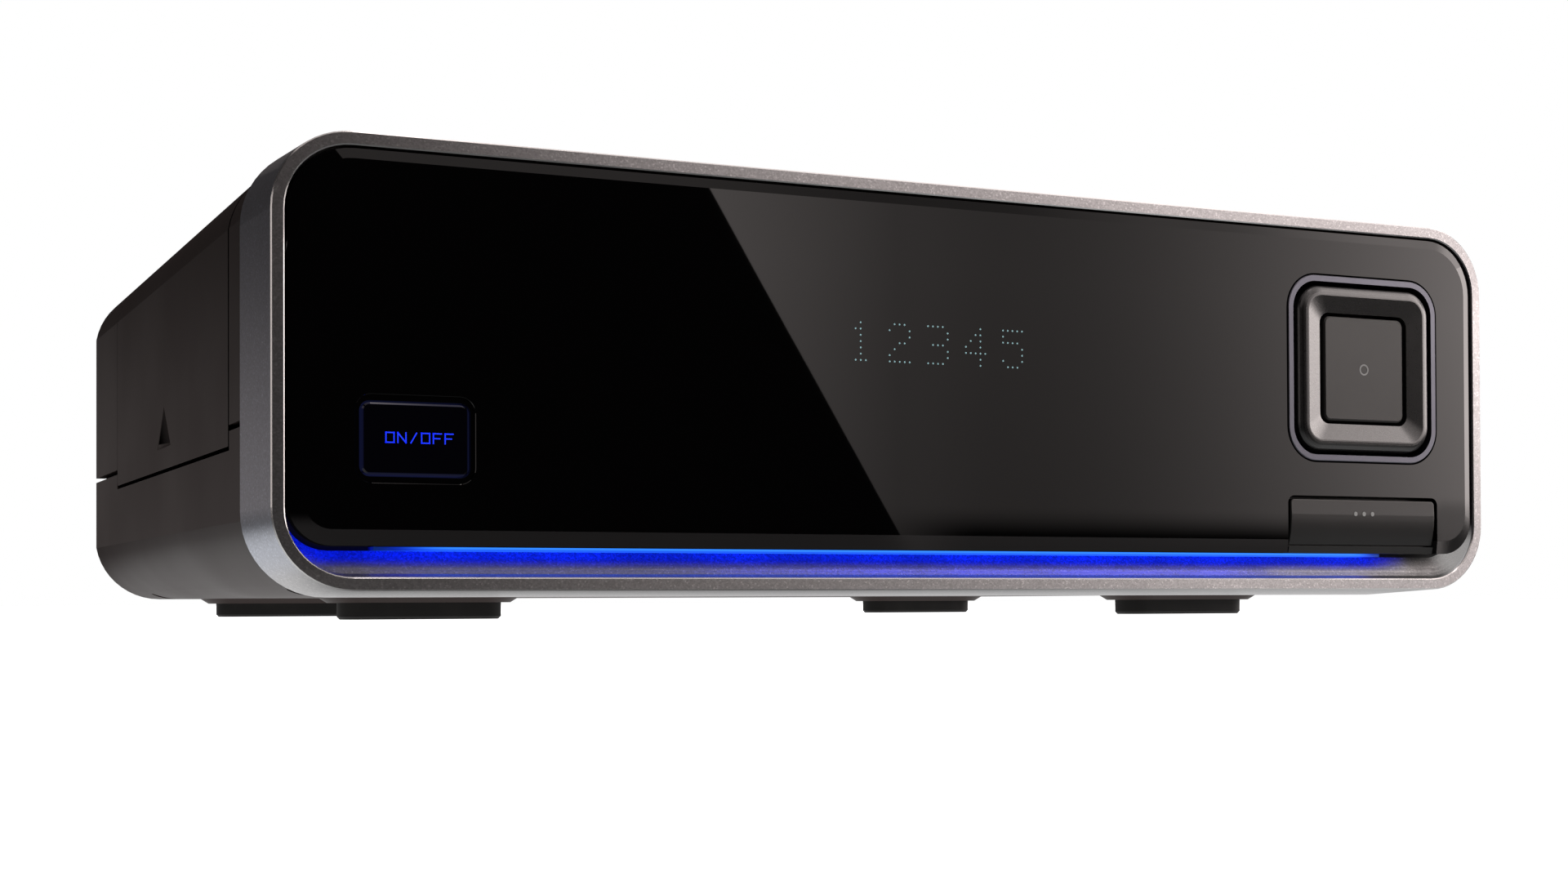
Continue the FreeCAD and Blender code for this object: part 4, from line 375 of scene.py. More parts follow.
def panel_gloss():
    """Black glossy plastic, almost flat; its lower-edge bevel strip is shaded as if flat, a little rougher,
    and painted lighter as a painted reflection.
    """
    t = Tree("panel_gloss", PANEL_BLACK, 0.012)
    x, y, z = t.axes()
    wave = t.bump(t.noise(40.0, 1.0), 0.012, 0.0003)
    inside = depth_inside(t, x, z, panel_high.x, panel_low.z, PANEL_CORNER)
    # the lower bevel strip, shaded as if flat and painted lighter in place of its reflection
    strip = t.product(t.ramp(inside, 3.05 * MM, 2.9 * MM),
                      t.ramp(z, panel_low.z + 6.0 * MM, panel_low.z + 3.0 * MM),
                      t.ramp(x, panel_high.x - 5.0 * MM, panel_high.x - 10.0 * MM))
    left_edge = t.product(t.ramp(inside, 3.4 * MM, 3.1 * MM), t.ramp(x, 1.0 * MM, 0.0),
                          t.ramp(z, panel_high.z - 14.0 * MM, panel_high.z - 22.0 * MM))
    flat = t.add("ShaderNodeCombineXYZ", Y=-1.0).outputs[0]
    blend = t.add("ShaderNodeMix", data_type="VECTOR")
    for value, socket in ((t.largest(strip, left_edge), 0), (wave, 4), (flat, 5)):
        t.link(value, blend.inputs[socket])
    t.wear(Normal=blend.outputs[1])
    dust = t.ramp(t.cells(2600.0), 0.03, 0.05, 0.004, 0.0)
    black = t.mix(dust, PANEL_BLACK, (0.5, 0.5, 0.5))
    corner = t.product(t.ramp(x, panel_high.x - 15.0 * MM, panel_high.x - 8.0 * MM),
                       t.ramp(z, panel_low.z + 16.0 * MM, panel_low.z + 6.0 * MM))
    rough = t.scaled(strip, 0.05, 0.012)
    # painted reflection: the strip's base is lighter than the panel's black
    t.wear(Base_Color=t.mix(strip, black, (0.03, 0.028, 0.028)),
           Roughness=t.scaled(corner, 0.24, rough))
    return t.material


def power_gloss():
    """The power button's dark plastic, with a faint painted blue glow, strongest along its edges, as a
    painted edge highlight.
    """
    t = Tree("power_gloss", (0.001, 0.001, 0.0015), 0.04)
    x, _, z = t.axes()
    half_x, half_z = (power_high[axis] - power_middle[axis] - POWER_FLANGE for axis in (0, 2))
    sides = t.ramp(t.away(x, power_middle.x), half_x - 0.5 * MM, half_x - 0.2 * MM)
    ends = t.ramp(t.away(z, power_middle.z), half_z - 0.5 * MM, half_z - 0.2 * MM)
    # painted highlight: a faint blue glow along the button's edges
    rim = t.largest(sides, ends)
    t.wear(Emission_Color=t.mix(rim, (0.0, 0.0, 0.0006), (0.004, 0.005, 0.02)), Emission_Strength=1.0,
           Normal=t.bump(t.noise(90.0, 1.0), 0.015, 0.0003))
    return t.material


def button_satin(name, base, rough, specular=0.5, ior=1.5):
    """Fine spark-eroded grain under a soft sheen."""
    t = Tree(name, base, rough, ior=ior, specular=specular)
    grain = t.noise(4200.0)
    tone = t.ramp(t.noise(70.0), 0.35, 0.65, 0.92, 1.06)
    t.wear(Base_Color=t.tinted(base, t.grey(tone)),
           Roughness=t.ramp(grain, 0.3, 0.7, rough - 0.03, rough + 0.04),
           Normal=t.bump(grain, 0.05, 0.00003))
    return t.material


def bezel_silver():
    """Smooth lacquered silver."""
    t = Tree("bezel_silver", (0.13, 0.13, 0.155), 0.3, 0.85)
    t.wear(Roughness=t.ramp(t.noise(300.0), 0.3, 0.7, 0.28, 0.33))
    return t.material


def shell_plastic(name="shell_plastic", door=False):
    """Matt black plastic with a fine moulded grain."""
    t = Tree(name, (0.026, 0.0175, 0.016), 0.46, specular=0.35)
    fine = t.noise(5200.0)
    grain = t.total(t.product(t.cells(2600.0, feature="SMOOTH_F1"), 0.8), t.product(fine, 0.6))
    base = t.mix(t.ramp(fine, 0.35, 0.75), SHELL_DARK, SHELL_PALE)
    up = t.normal(2)
    # painted shade: faces turned downward get a weaker reflection
    sheen = t.ramp(up, -0.02, -0.3, 0.35, 0.14)
    # the door adds painted shade and a painted highlight, and dims its reflection where the shade is painted
    if door:
        base, dark = door_shades(t, base, up)
        sheen = t.product(sheen, t.unless(dark))
    t.wear(Base_Color=base, Roughness=t.ramp(t.noise(14.0, 3.0), 0.3, 0.7, 0.43, 0.5),
           Specular_IOR_Level=sheen, Specular_Tint=(1.0, 0.84, 0.8), Normal=t.bump(grain, 0.16, 0.00005))
    return t.material


def door_shades(t, base, up):
    """Painted shade in the finger scoop's hollow and on the door's lower and front edges, and a painted
    highlight on the scoop's foot.
    """
    x, y, z = t.axes()
    foot, ledge_top, tip = (door_low.z + rise for rise in (SCOOP_LOW, SCOOP_LEDGE, SCOOP_HIGH))
    back = door_low.y + SCOOP_BACK
    zone = t.product(t.ramp(z, foot - 0.1 * MM, foot + 0.1 * MM),
                     t.ramp(z, tip + 0.15 * MM, tip - 0.15 * MM),
                     t.ramp(x, door_low.x + 0.03 * MM, door_low.x + 0.12 * MM),
                     t.ramp(x, door_low.x + SCOOP_DEPTH + 0.1 * MM, door_low.x + SCOOP_DEPTH - 0.1 * MM))
    # the scoop's foot, painted lighter as a highlight
    ledge = t.ramp(z, ledge_top + 0.15 * MM, ledge_top - 0.15 * MM)
    # painted shade inside the finger scoop
    hollow = t.product(t.ramp(y, back - 14.6 * MM, back - 4.6 * MM, 0.2, 1.0),
                       t.ramp(y, back + 0.2 * MM, back - 0.2 * MM), t.unless(ledge), zone)
    # painted shade on the downward lower edge, and in the gap by the front edge
    lower_edge = t.product(t.ramp(up, -0.2, -0.5), t.ramp(z, door_low.z + 3 * MM, door_low.z + 2 * MM))
    front_edge = t.product(t.ramp(t.normal(1), -0.5, -0.8),
                           t.ramp(y, door_low.y + 1.0 * MM, door_low.y + 0.5 * MM))
    front_band = t.ramp(y, door_low.y + 0.9 * MM, door_low.y + 0.6 * MM)
    dark = t.largest(hollow, lower_edge, front_edge, front_band)
    # the painted shade colour where dark, and the painted highlight on the scoop's foot
    return t.mix(t.product(ledge, zone), t.mix(dark, base, DOOR_SHADE), DOOR_LEDGE_LIGHT), dark


def inner_plastic():
    """Dark moulded plastic with faint flow marks."""
    t = Tree("inner_plastic", (0.035, 0.035, 0.036), 0.5)
    swirl = t.ramp(t.noise(35.0, 3.0), 0.35, 0.65)
    t.wear(Base_Color=t.mix(swirl, (0.03, 0.03, 0.031), (0.042, 0.042, 0.043)),
           Normal=t.bump(t.noise(2500.0), 0.15, 0.00004))
    return t.material


def foot_rubber():
    """Matt rubber, a little worn."""
    t = Tree("foot_rubber", (0.007, 0.0058, 0.005), 0.66, specular=0.3)
    worn = t.ramp(t.noise(120.0), 0.4, 0.7)
    t.wear(Base_Color=t.mix(worn, (0.0055, 0.0045, 0.004), (0.01, 0.0085, 0.0075)),
           Normal=t.bump(t.noise(3200.0, 3.0), 0.3, 0.00008))
    return t.material


def guide_acrylic():
    """Clear plastic lit blue, brightest along its upper edge and fading at its ends."""
    t = Tree("guide_acrylic", (0.05, 0.25, 0.8), 0.15)
    x, _, z = t.axes()
    bright = t.product(t.ramp(x, guide_low.x + 2 * MM, guide_low.x + 16 * MM),
                       t.ramp(x, guide_high.x, guide_high.x - 8 * MM),
                       t.ramp(z, guide_high.z - 0.55 * MM, guide_high.z - 0.25 * MM, 0.35, 1.0))
    glow = t.product(t.ramp(x, guide_low.x - 1 * MM, guide_low.x + 12 * MM),
                     t.ramp(x, guide_high.x + 1 * MM, guide_high.x - 6 * MM))
    t.wear(Emission_Color=t.mix(bright, BLUE, BLUE_LINE), Emission_Strength=t.scaled(glow, 1.0, 0.1))
    return t.material


def lit(name, tint, strength):
    """A lit mark or dot."""
    t = Tree(name, tint, 0.4)
    t.wear(Roughness=t.ramp(t.noise(1500.0), 0.3, 0.7, 0.35, 0.45), Emission_Color=tint,
           Emission_Strength=strength)
    return t.material


def print_ink(name, tint):
    """Matt printed ink."""
    t = Tree(name, tint, 0.55)
    t.wear(Roughness=t.ramp(t.noise(3000.0), 0.3, 0.7, 0.48, 0.62))
    return t.material


# ---------------------------------------------------------------------------
# Materials of the inside and the back
# ---------------------------------------------------------------------------
HALF_LANE = 0.9 * MM          # half the distance from trace to trace
CAN_TOP = (0.7, 0.7, 0.72)
DISPLAY_DARK = (0.006, 0.008, 0.009)
FOIL = (0.7, 0.71, 0.72)
FOIL_BAND = (0.2, 0.22, 0.25)
WASHER_COLOURS = ((0.7, 0.45, 0.02), (0.6, 0.6, 0.58), (0.5, 0.02, 0.018))
JACK_PITCH = 16.0 * MM
LABEL_SIDE = 20.0 * MM        # the label lies this far inside the drive's lid
LABEL_END = 16.0 * MM
LABEL_BAND = 2.1 * MM
jack_places = [(jacks_low.x + jacks_high.x) / 2 + step * JACK_PITCH for step in (-1, 0, 1)]
label_middle = (lid_low + lid_high) / 2
label_half_x = (lid_high.x - lid_low.x) / 2 - LABEL_SIDE
label_half_y = (lid_high.y - lid_low.y) / 2 - LABEL_END


def laminate(name, mask, copper, scale, tinned=(0.75, 0.7, 0.6)):
    """Circuit board: solder mask over traces, with tinned vias."""
    t = Tree(name, mask, 0.32)
    x, y, z = t.axes()
    cell = t.split(t.cells(scale, "Color"))
    across, along = (t.ramp(t.math("PINGPONG", value, HALF_LANE), 0.32 * MM, 0.38 * MM)
                     for value in (x, t.total(y, z)))
    choose = t.ramp(cell[0], 0.49, 0.51)
    lanes = t.total(t.product(across, choose), t.product(along, t.unless(choose)))
    lanes = t.product(lanes, t.ramp(cell[1], 0.35, 0.4))
    via = t.ramp(t.cells(scale * 4.5), 0.16, 0.12)
    t.wear(Base_Color=t.mix(via, t.mix(t.product(lanes, 0.55), mask, copper), tinned),
           Metallic=t.product(via, 0.8), Normal=t.bump(lanes, 0.35, 0.00004))
    return t.material


def chip_black():
    """Moulded epoxy."""
    t = Tree("chip_black", (0.016, 0.016, 0.017), 0.42)
    t.wear(Roughness=t.ramp(t.noise(160.0), 0.3, 0.7, 0.36, 0.5),
           Normal=t.bump(t.noise(2400.0, 3.0), 0.3, 0.00005))
    return t.material


def metal(name, base, rough, grain=(1.0, 1.0, 1.0), scale=700.0, spread=0.1, bump=0.06, mottled=0.0):
    """Bare or plated metal.  The grain is stretched along the rolling direction, and zinc is mottled."""
    t = Tree(name, base, rough, 1.0)
    fine = t.noise(scale, 3.0, 0.6, grain)
    if mottled:
        patches = t.ramp(t.split(t.cells(150.0, "Color"))[0], 0.1, 0.9)
    else:
        patches = t.ramp(t.noise(60.0, 3.0), 0.35, 0.65)
    dark = tuple(part * (1 - (mottled or 0.1)) for part in base)
    t.wear(Base_Color=t.mix(patches, base, dark),
           Roughness=t.ramp(fine, 0.25, 0.75, rough - spread, rough + spread),
           Normal=t.bump(fine, bump, 0.00005))
    return t.material


def can_sleeve():
    """Capacitor sleeves: dark sleeve, bare aluminium top."""
    t = Tree("can_sleeve", (0.02, 0.03, 0.09), 0.35)
    up = t.ramp(t.normal(2), 0.6, 0.8)
    sleeve = t.mix(t.ramp(t.noise(300.0), 0.4, 0.6), (0.018, 0.026, 0.08), (0.025, 0.036, 0.1))
    t.wear(Base_Color=t.mix(up, sleeve, CAN_TOP), Metallic=up)
    return t.material


def flat_cable():
    """Pale film with grey strands."""
    t = Tree("flat_cable", (0.75, 0.74, 0.72), 0.4)
    strands = t.ramp(t.math("PINGPONG", t.axes()[0], 0.5 * MM), 0.2 * MM, 0.3 * MM)
    t.wear(Base_Color=t.mix(strands, (0.72, 0.71, 0.69), (0.4, 0.4, 0.4)),
           Normal=t.bump(strands, 0.3, 0.0001))
    return t.material


def display_glass():
    """Dark glass with a faint mesh behind it."""
    t = Tree("display_glass", DISPLAY_DARK, 0.06)
    t.wear(Base_Color=t.mix(t.ramp(t.cells(1400.0), 0.3, 0.5), DISPLAY_DARK, (0.016, 0.02, 0.02)))
    return t.material


def socket_plastic():
    """Black moulded plastic of the sockets and switches."""
    t = Tree("socket_plastic", (0.015, 0.015, 0.016), 0.38)
    t.wear(Roughness=t.ramp(t.noise(90.0), 0.3, 0.7, 0.33, 0.45),
           Normal=t.bump(t.noise(2600.0), 0.12, 0.00004))
    return t.material


def drive_casting():
    """Die-cast aluminium, lightly coated in black."""
    t = Tree("drive_casting", (0.09, 0.09, 0.095), 0.5, 0.6)
    pores = t.noise(1500.0, 4.0, 0.65)
    t.wear(Base_Color=t.mix(t.ramp(pores, 0.4, 0.65), (0.075, 0.075, 0.08), (0.12, 0.12, 0.125)),
           Normal=t.bump(pores, 0.35, 0.00008))
    return t.material


def jack_colours():
    """Yellow, pale and red washers, told apart by their place."""
    t = Tree("jack_colours", WASHER_COLOURS[2], 0.42)
    x = t.axes()[0]
    grain = t.noise(900.0)
    paint = WASHER_COLOURS[0]
    for left, right, tint in zip(jack_places, jack_places[1:], WASHER_COLOURS[1:]):
        between = (left + right) / 2
        paint = t.mix(t.ramp(x, between - 0.5 * MM, between + 0.5 * MM), paint, tint)
    t.wear(Base_Color=paint, Roughness=t.ramp(grain, 0.3, 0.7, 0.38, 0.46),
           Normal=t.bump(grain, 0.1, 0.00003))
    return t.material


def chip_parts():
    """Ceramic and moulded bodies whose tone changes from part to part."""
    t = Tree("chip_parts", (0.2, 0.15, 0.1), 0.45)
    pick = t.ramp(t.split(t.cells(260.0, "Color"))[0], 0.45, 0.55)
    t.wear(Base_Color=t.mix(pick, (0.02, 0.02, 0.021), (0.3, 0.2, 0.12)),
           Normal=t.bump(t.noise(2600.0), 0.1, 0.00002))
    return t.material


def label_foil():
    """Satin foil with a grey border band, left bare."""
    t = Tree("label_foil", FOIL, 0.38, 0.25)
    x, y, _ = t.axes()
    band_x, band_y = label_half_x - LABEL_BAND, label_half_y - LABEL_BAND
    band = t.largest(t.ramp(t.away(x, label_middle.x), band_x - 0.1 * MM, band_x + 0.1 * MM),
                     t.ramp(t.away(y, label_middle.y), band_y - 0.1 * MM, band_y + 0.1 * MM))
    t.wear(Base_Color=t.mix(band, FOIL, FOIL_BAND), Roughness=t.ramp(t.noise(1500.0), 0.3, 0.7, 0.34, 0.42))
    return t.material


# ---------------------------------------------------------------------------
# Which node wears what
# ---------------------------------------------------------------------------
def build_materials():
    """Every material, by its plain name.  Blender numbers those that the frame has under the same name."""
    made = [
        frame_metal(), panel_gloss(), power_gloss(), bezel_silver(), shell_plastic(),
        shell_plastic("door_plastic", door=True), inner_plastic(), foot_rubber(), guide_acrylic(),
        display_glass(), chip_black(), can_sleeve(), flat_cable(), socket_plastic(), drive_casting(),
        jack_colours(), chip_parts(), label_foil(),
        button_satin("ring_gloss", (0.016, 0.0147, 0.014), 0.3, 0.9, 1.6),
        button_satin("ok_satin", (0.03, 0.0275, 0.0255), 0.4),
        button_satin("option_satin", (0.008, 0.0072, 0.0068), 0.34),
        laminate("board_laminate", (0.006, 0.045, 0.02), (0.03, 0.12, 0.04), 110.0),
        laminate("led_board", (0.6, 0.6, 0.58), (0.45, 0.45, 0.42), 200.0, (0.8, 0.75, 0.6)),
        laminate("drive_laminate", (0.01, 0.05, 0.09), (0.03, 0.1, 0.16), 150.0),
        metal("sink_aluminium", (0.1, 0.1, 0.105), 0.4, (1.0, 0.05, 1.0), 900.0),
        metal("zinc_steel", (0.62, 0.63, 0.65), 0.34, (0.1, 1.0, 1.0), 500.0, 0.08, 0.04, 0.16),
        metal("screw_steel", (0.5, 0.5, 0.51), 0.32, scale=1200.0),
        metal("screw_black", (0.05, 0.05, 0.052), 0.38, scale=1200.0),
        metal("socket_metal", (0.7, 0.69, 0.66), 0.26, (1.0, 0.2, 1.0), 800.0),
        metal("drive_cover", (0.66, 0.67, 0.68), 0.34, (0.06, 1.0, 1.0), 1400.0, 0.04, 0.01),
        metal("contact_gold", (0.85, 0.6, 0.22), 0.25, (1.0, 0.05, 1.0), 1500.0, 0.06, 0.03),
        lit("dot_lit", (0.2, 0.34, 0.36), 0.75),
        lit("legend_blue", (0.007, 0.032, 0.82), 1.0),
        print_ink("legend_grey", (0.4, 0.39, 0.38)),
    ]
    return {material.name.split(".")[0]: material for material in made}


NODE_MATERIALS = {
    "frame_metal": ["front_frame"],
    "panel_gloss": ["front_panel"],
    "power_gloss": ["power_button"],
    "ring_gloss": ["nav_ring"],
    "ok_satin": ["ok_button"],
    "option_satin": ["option_button"],
    "bezel_silver": ["nav_bezel"],
    "shell_plastic": ["top_cover", "base_shell"],
    "door_plastic": ["tray_door"],
    "inner_plastic": ["panel_carrier", "nav_gimbal", "fan_frame", "fan_rotor", "upright_slot"],
    "foot_rubber": ["rubber_feet"],
    "guide_acrylic": ["light_guide"],
    "board_laminate": ["main_board", "front_board", "upright_board"],
    "led_board": ["led_strip"],
    "drive_laminate": ["drive_board"],
    "display_glass": ["display_module"],
    "chip_black": ["processor", "memory_chips", "infrared_receiver"],
    "sink_aluminium": ["heatsink"],
    "can_sleeve": ["capacitors"],
    "flat_cable": ["ribbon_cable"],
    "zinc_steel": ["rear_panel", "drive_cage", "drive_tray", "tray_rails"],
    "screw_steel": ["led_screws", "front_board_screws", "board_screws", "cage_screws", "rail_screws",
                    "drive_screws", "door_screws", "drive_lid_screws", "board_standoffs", "cage_posts",
                    "coin_cell"],
    "screw_black": ["case_screws", "rear_screws", "fan_screws"],
    "socket_metal": ["video_socket", "network_socket", "bus_sockets", "phono_jacks"],
    "socket_plastic": ["power_socket", "optical_socket", "drive_socket", "drive_plug", "ribbon_sockets",
                       "tact_switches", "coin_cell_holder"],
    "drive_casting": ["drive_body"],
    "drive_cover": ["drive_lid_plate"],
}

materials = build_materials()
for wanted, names in NODE_MATERIALS.items():
    for name in names:
        data = nodes[name].data
        data.materials.clear()
        data.materials.append(materials[wanted])


# ---------------------------------------------------------------------------
# Mesh helpers for the pieces
# ---------------------------------------------------------------------------
SHARP_ANGLE = math.radians(35)


def mesh_from(builder, name, bevel):
    """Runs a builder on an empty bmesh and returns its mesh, with sharp edges bevelled."""
    bm = bmesh.new()
    builder(bm)
    if bevel:
        edges = [e for e in bm.edges if e.is_manifold and e.calc_face_angle(0) > SHARP_ANGLE]
        bmesh.ops.bevel(bm, geom=edges, offset=bevel, segments=2, affect="EDGES", profile=0.6)
    bmesh.ops.recalc_face_normals(bm, faces=bm.faces)
    mesh = bpy.data.meshes.new(name)
    bm.to_mesh(mesh)
    bm.free()
    return mesh


def piece(name, builder, bevel, material, body, slot):
    """A new object that rides on a body. Its slot, one of the record's material slots, is not used."""
    mesh = mesh_from(builder, name, bevel)
    made = bpy.data.objects.new(name, mesh)
    scene.collection.objects.link(made)
    mesh.materials.append(materials[material])
    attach(made, body)


def prism(bm, near, far):
    """A closed prism between two outlines that have the same number of points."""
    near, far = ([bm.verts.new(point) for point in outline] for outline in (near, far))
    bm.faces.new(near)
    bm.faces.new(list(reversed(far)))
    for i in range(len(near)):
        bm.faces.new((near[i - 1], far[i - 1], far[i], near[i]))


def slab(bm, outline, y0, y1):
    """A prism from a convex outline of (x, z) points, between two depths."""
    prism(bm, [(x, y0, z) for x, z in outline], [(x, y1, z) for x, z in outline])


def brick(bm, x0, y0, z0, x1, y1, z1):
    slab(bm, [(x0, z0), (x1, z0), (x1, z1), (x0, z1)], y0, y1)


def disc(bm, x, z, radius, y0, y1, sides):
    turns = [2 * math.pi * k / sides for k in range(sides)]
    slab(bm, [(x + radius * math.cos(turn), z + radius * math.sin(turn)) for turn in turns], y0, y1)


def ring(bm, x, z, radius, width, y0, y1, sides):
    """A flat ring with square edges."""
    near, far = radius - width / 2, radius + width / 2
    loops = []
    for k in range(sides):
        turn = 2 * math.pi * k / sides
        loops.append([bm.verts.new((x + r * math.cos(turn), y, z + r * math.sin(turn)))
                      for r, y in ((near, y0), (far, y0), (far, y1), (near, y1))])
    for i in range(sides):
        a, b = loops[i - 1], loops[i]
        for k in range(4):
            bm.faces.new((a[k - 1], a[k], b[k], b[k - 1]))


def bar(bm, x0, z0, x1, z1, width, y0, y1):
    """A straight stroke with square ends that overshoot by half its width."""
    along = Vector((x1 - x0, z1 - z0)).normalized() * (width / 2)
    side = Vector((-along.y, along.x))
    a, b = Vector((x0, z0)) - along, Vector((x1, z1)) + along
    slab(bm, [tuple(a - side), tuple(b - side), tuple(b + side), tuple(a + side)], y0, y1)


def surface_at(name, start, direction):
    """Where a ray first meets a node's surface."""
    data = nodes[name].data
    tree = BVHTree.FromPolygons([v.co for v in data.vertices], [p.vertices for p in data.polygons])
    return tree.ray_cast(start, Vector(direction))[0]


# ---------------------------------------------------------------------------
# Display, a row of dot matrix digits
# ---------------------------------------------------------------------------
DIGITS = {
    "1": ("00100", "01100", "00100", "00100", "00100", "00100", "01110"),
    "2": ("01110", "10001", "00001", "00110", "01000", "10000", "11111"),
    "3": ("11110", "00001", "00001", "01110", "00001", "00001", "11110"),
    "4": ("00010", "00110", "01010", "10010", "11111", "00010", "00010"),
    "5": ("11111", "10000", "11110", "00001", "00001", "10001", "01110"),
}
DISPLAY_TEXT = "12345"
DISPLAY_SHIFT = Vector((-6.45, 0, -1.05)) * MM      # from the display module's middle
DIGIT_PITCH = 8.9 * MM
DIGIT_HEIGHT = 7.6 * MM
DIGIT_WIDTH = 4.6 * MM
DOT_RADIUS = 0.19 * MM
DOT_SIDES = 10
DOT_PROUD = 0.04 * MM
DOT_ROOT = 0.15 * MM


def build_display(bm):
    middle = (display_low + display_high) / 2 + DISPLAY_SHIFT
    left = middle.x - DIGIT_PITCH * (len(DISPLAY_TEXT) - 1) / 2
    for index, character in enumerate(DISPLAY_TEXT):
        for row, cells in enumerate(DIGITS[character]):
            z = middle.z + DIGIT_HEIGHT * (0.5 - row / 6)
            for column, on in enumerate(cells):
                if on == "1":
                    x = left + DIGIT_PITCH * index + DIGIT_WIDTH * (column / 4 - 0.5)
                    disc(bm, x, z, DOT_RADIUS, panel_low.y - DOT_PROUD, panel_low.y + DOT_ROOT, DOT_SIDES)


# ---------------------------------------------------------------------------
# Marks on the buttons
# ---------------------------------------------------------------------------
POWER_TEXT = "ON/OFF"
POWER_MARK_SHIFT = Vector((0.7, 0, 0.25)) * MM      # from the button's middle
POWER_MARK_HEIGHT = 1.8 * MM
POWER_LETTER_WIDTH = 1.5 * MM
POWER_LETTER_GAP = 0.72 * MM
POWER_STROKE = 0.24 * MM
OK_RING_RADIUS = 1.1 * MM
OK_RING_STROKE = 0.34 * MM
OPTION_DOT_HEIGHT = 8.9 * MM
OPTION_DOT_PITCH = 2.4 * MM
OPTION_DOT_RADIUS = 0.5 * MM
MARK_PROUD = 0.03 * MM
MARK_ROOT = 0.15 * MM


def letter_strokes(character, x, z, width, height):
    """Straight strokes of a plain square letter whose lower left corner is x, z."""
    right, top, half = x + width, z + height, z + height / 2
    return {
        "O": [(x, z, x, top), (right, z, right, top), (x, z, right, z), (x, top, right, top)],
        "N": [(x, z, x, top), (right, z, right, top), (x, top, right, z)],
        "F": [(x, z, x, top), (x, top, right, top), (x, half, x + width * 0.8, half)],
        "/": [(x + width * 0.15, z, x + width * 0.85, top)],
    }[character]


def build_power_mark(bm):
    total = len(POWER_TEXT) * POWER_LETTER_WIDTH + (len(POWER_TEXT) - 1) * POWER_LETTER_GAP
    middle = power_middle + POWER_MARK_SHIFT
    x = middle.x - total / 2
    z = middle.z - POWER_MARK_HEIGHT / 2
    for character in POWER_TEXT:
        for stroke in letter_strokes(character, x, z, POWER_LETTER_WIDTH, POWER_MARK_HEIGHT):
            bar(bm, *stroke, POWER_STROKE, power_low.y - MARK_PROUD, power_low.y + MARK_ROOT)
        x += POWER_LETTER_WIDTH + POWER_LETTER_GAP


def build_ok_mark(bm):
    middle = (ok_low + ok_high) / 2
    y = ok_low.y
    ring(bm, middle.x, middle.z, OK_RING_RADIUS, OK_RING_STROKE, y - MARK_PROUD, y + MARK_ROOT, 32)


def build_option_mark(bm):
    x = (option_low.x + option_high.x) / 2
    z = option_low.z + OPTION_DOT_HEIGHT
    y = surface_at("option_button", Vector((x, cad_low.y - 10 * MM, z)), (0, 1, 0)).y
    for step in (-1, 0, 1):
        disc(bm, x + step * OPTION_DOT_PITCH, z, OPTION_DOT_RADIUS, y - 2 * MARK_PROUD, y + MARK_ROOT, 16)


# ---------------------------------------------------------------------------
# Pieces of the back and of the inside
# ---------------------------------------------------------------------------
NETWORK_DEPTH = 5.3 * MM      # a place inside each port, from its rear edge and from the board's top
NETWORK_RISE = 7.2 * MM
BUS_DEPTH = 3.5 * MM
BUS_RISES = (3.4 * MM, 11.4 * MM)
WIRE_COUNT = 8
WIRE_PITCH = 1.02 * MM
WIRE_HALF = 0.2 * MM
WIRE_THICK = 0.3 * MM
WIRE_REACH = 10.0 * MM
WIRE_BEND = 0.4 * MM          # thickness of the end that is bent up
WIRE_RISE = 2.2 * MM
STRIP_COUNT = 4
STRIP_PITCH = 2.3 * MM
STRIP_HALF = 0.5 * MM
STRIP_THICK = 0.15 * MM
STRIP_REACH = 7.6 * MM
JACK_RISE = 7.0 * MM          # from the board's top to the jacks' axes
COLLAR_PROUD = 0.6 * MM       # the jacks' collars behind the rear panel
WASHER_RADIUS = 5.0 * MM
WASHER_WIDTH = 1.7 * MM
WASHER_THICK = 0.8 * MM
CHIP_SIZES = ((0.8, 0.4, 0.5), (1.0, 0.6, 0.6), (1.6, 0.8, 0.7), (2.4, 1.6, 1.2), (3.0, 3.0, 2.0))
CHIP_SEED = 11
CHIP_TRIES = 900
CHIP_COUNT = 150
CHIP_MARGIN = 4 * MM          # from the board's edges to a chip's middle
CHIP_GAP = 0.6 * MM
PROBE_SPARE = 0.5 * MM
PROBE_HEIGHT = 9.0 * MM
LABEL_CORNER = 3.0 * MM
LABEL_THICK = 0.08 * MM


def row_of(count, pitch, middle):
    """Evenly spaced places round a middle."""
    return [middle + (k - (count - 1) / 2) * pitch for k in range(count)]


def inside_port(socket, depth, rise):
    """A place inside a rear port, in the middle of the socket's width."""
    low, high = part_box(socket)
    return Vector(((low.x + high.x) / 2, high.y - depth, board_high.z + rise))


def build_network_contacts(bm):
    """Gilt wires on the port's floor, bent up at their inner ends."""
    middle = inside_port("network_socket", NETWORK_DEPTH, NETWORK_RISE)
    floor = surface_at("network_socket", middle, (0, 0, -1)).z
    inner = surface_at("network_socket", middle, (0, -1, 0)).y
    top = floor + WIRE_THICK
    for x in row_of(WIRE_COUNT, WIRE_PITCH, middle.x):
        brick(bm, x - WIRE_HALF, inner, floor, x + WIRE_HALF, inner + WIRE_REACH, top)
        brick(bm, x - WIRE_HALF, inner, top, x + WIRE_HALF, inner + WIRE_BEND, floor + WIRE_RISE)


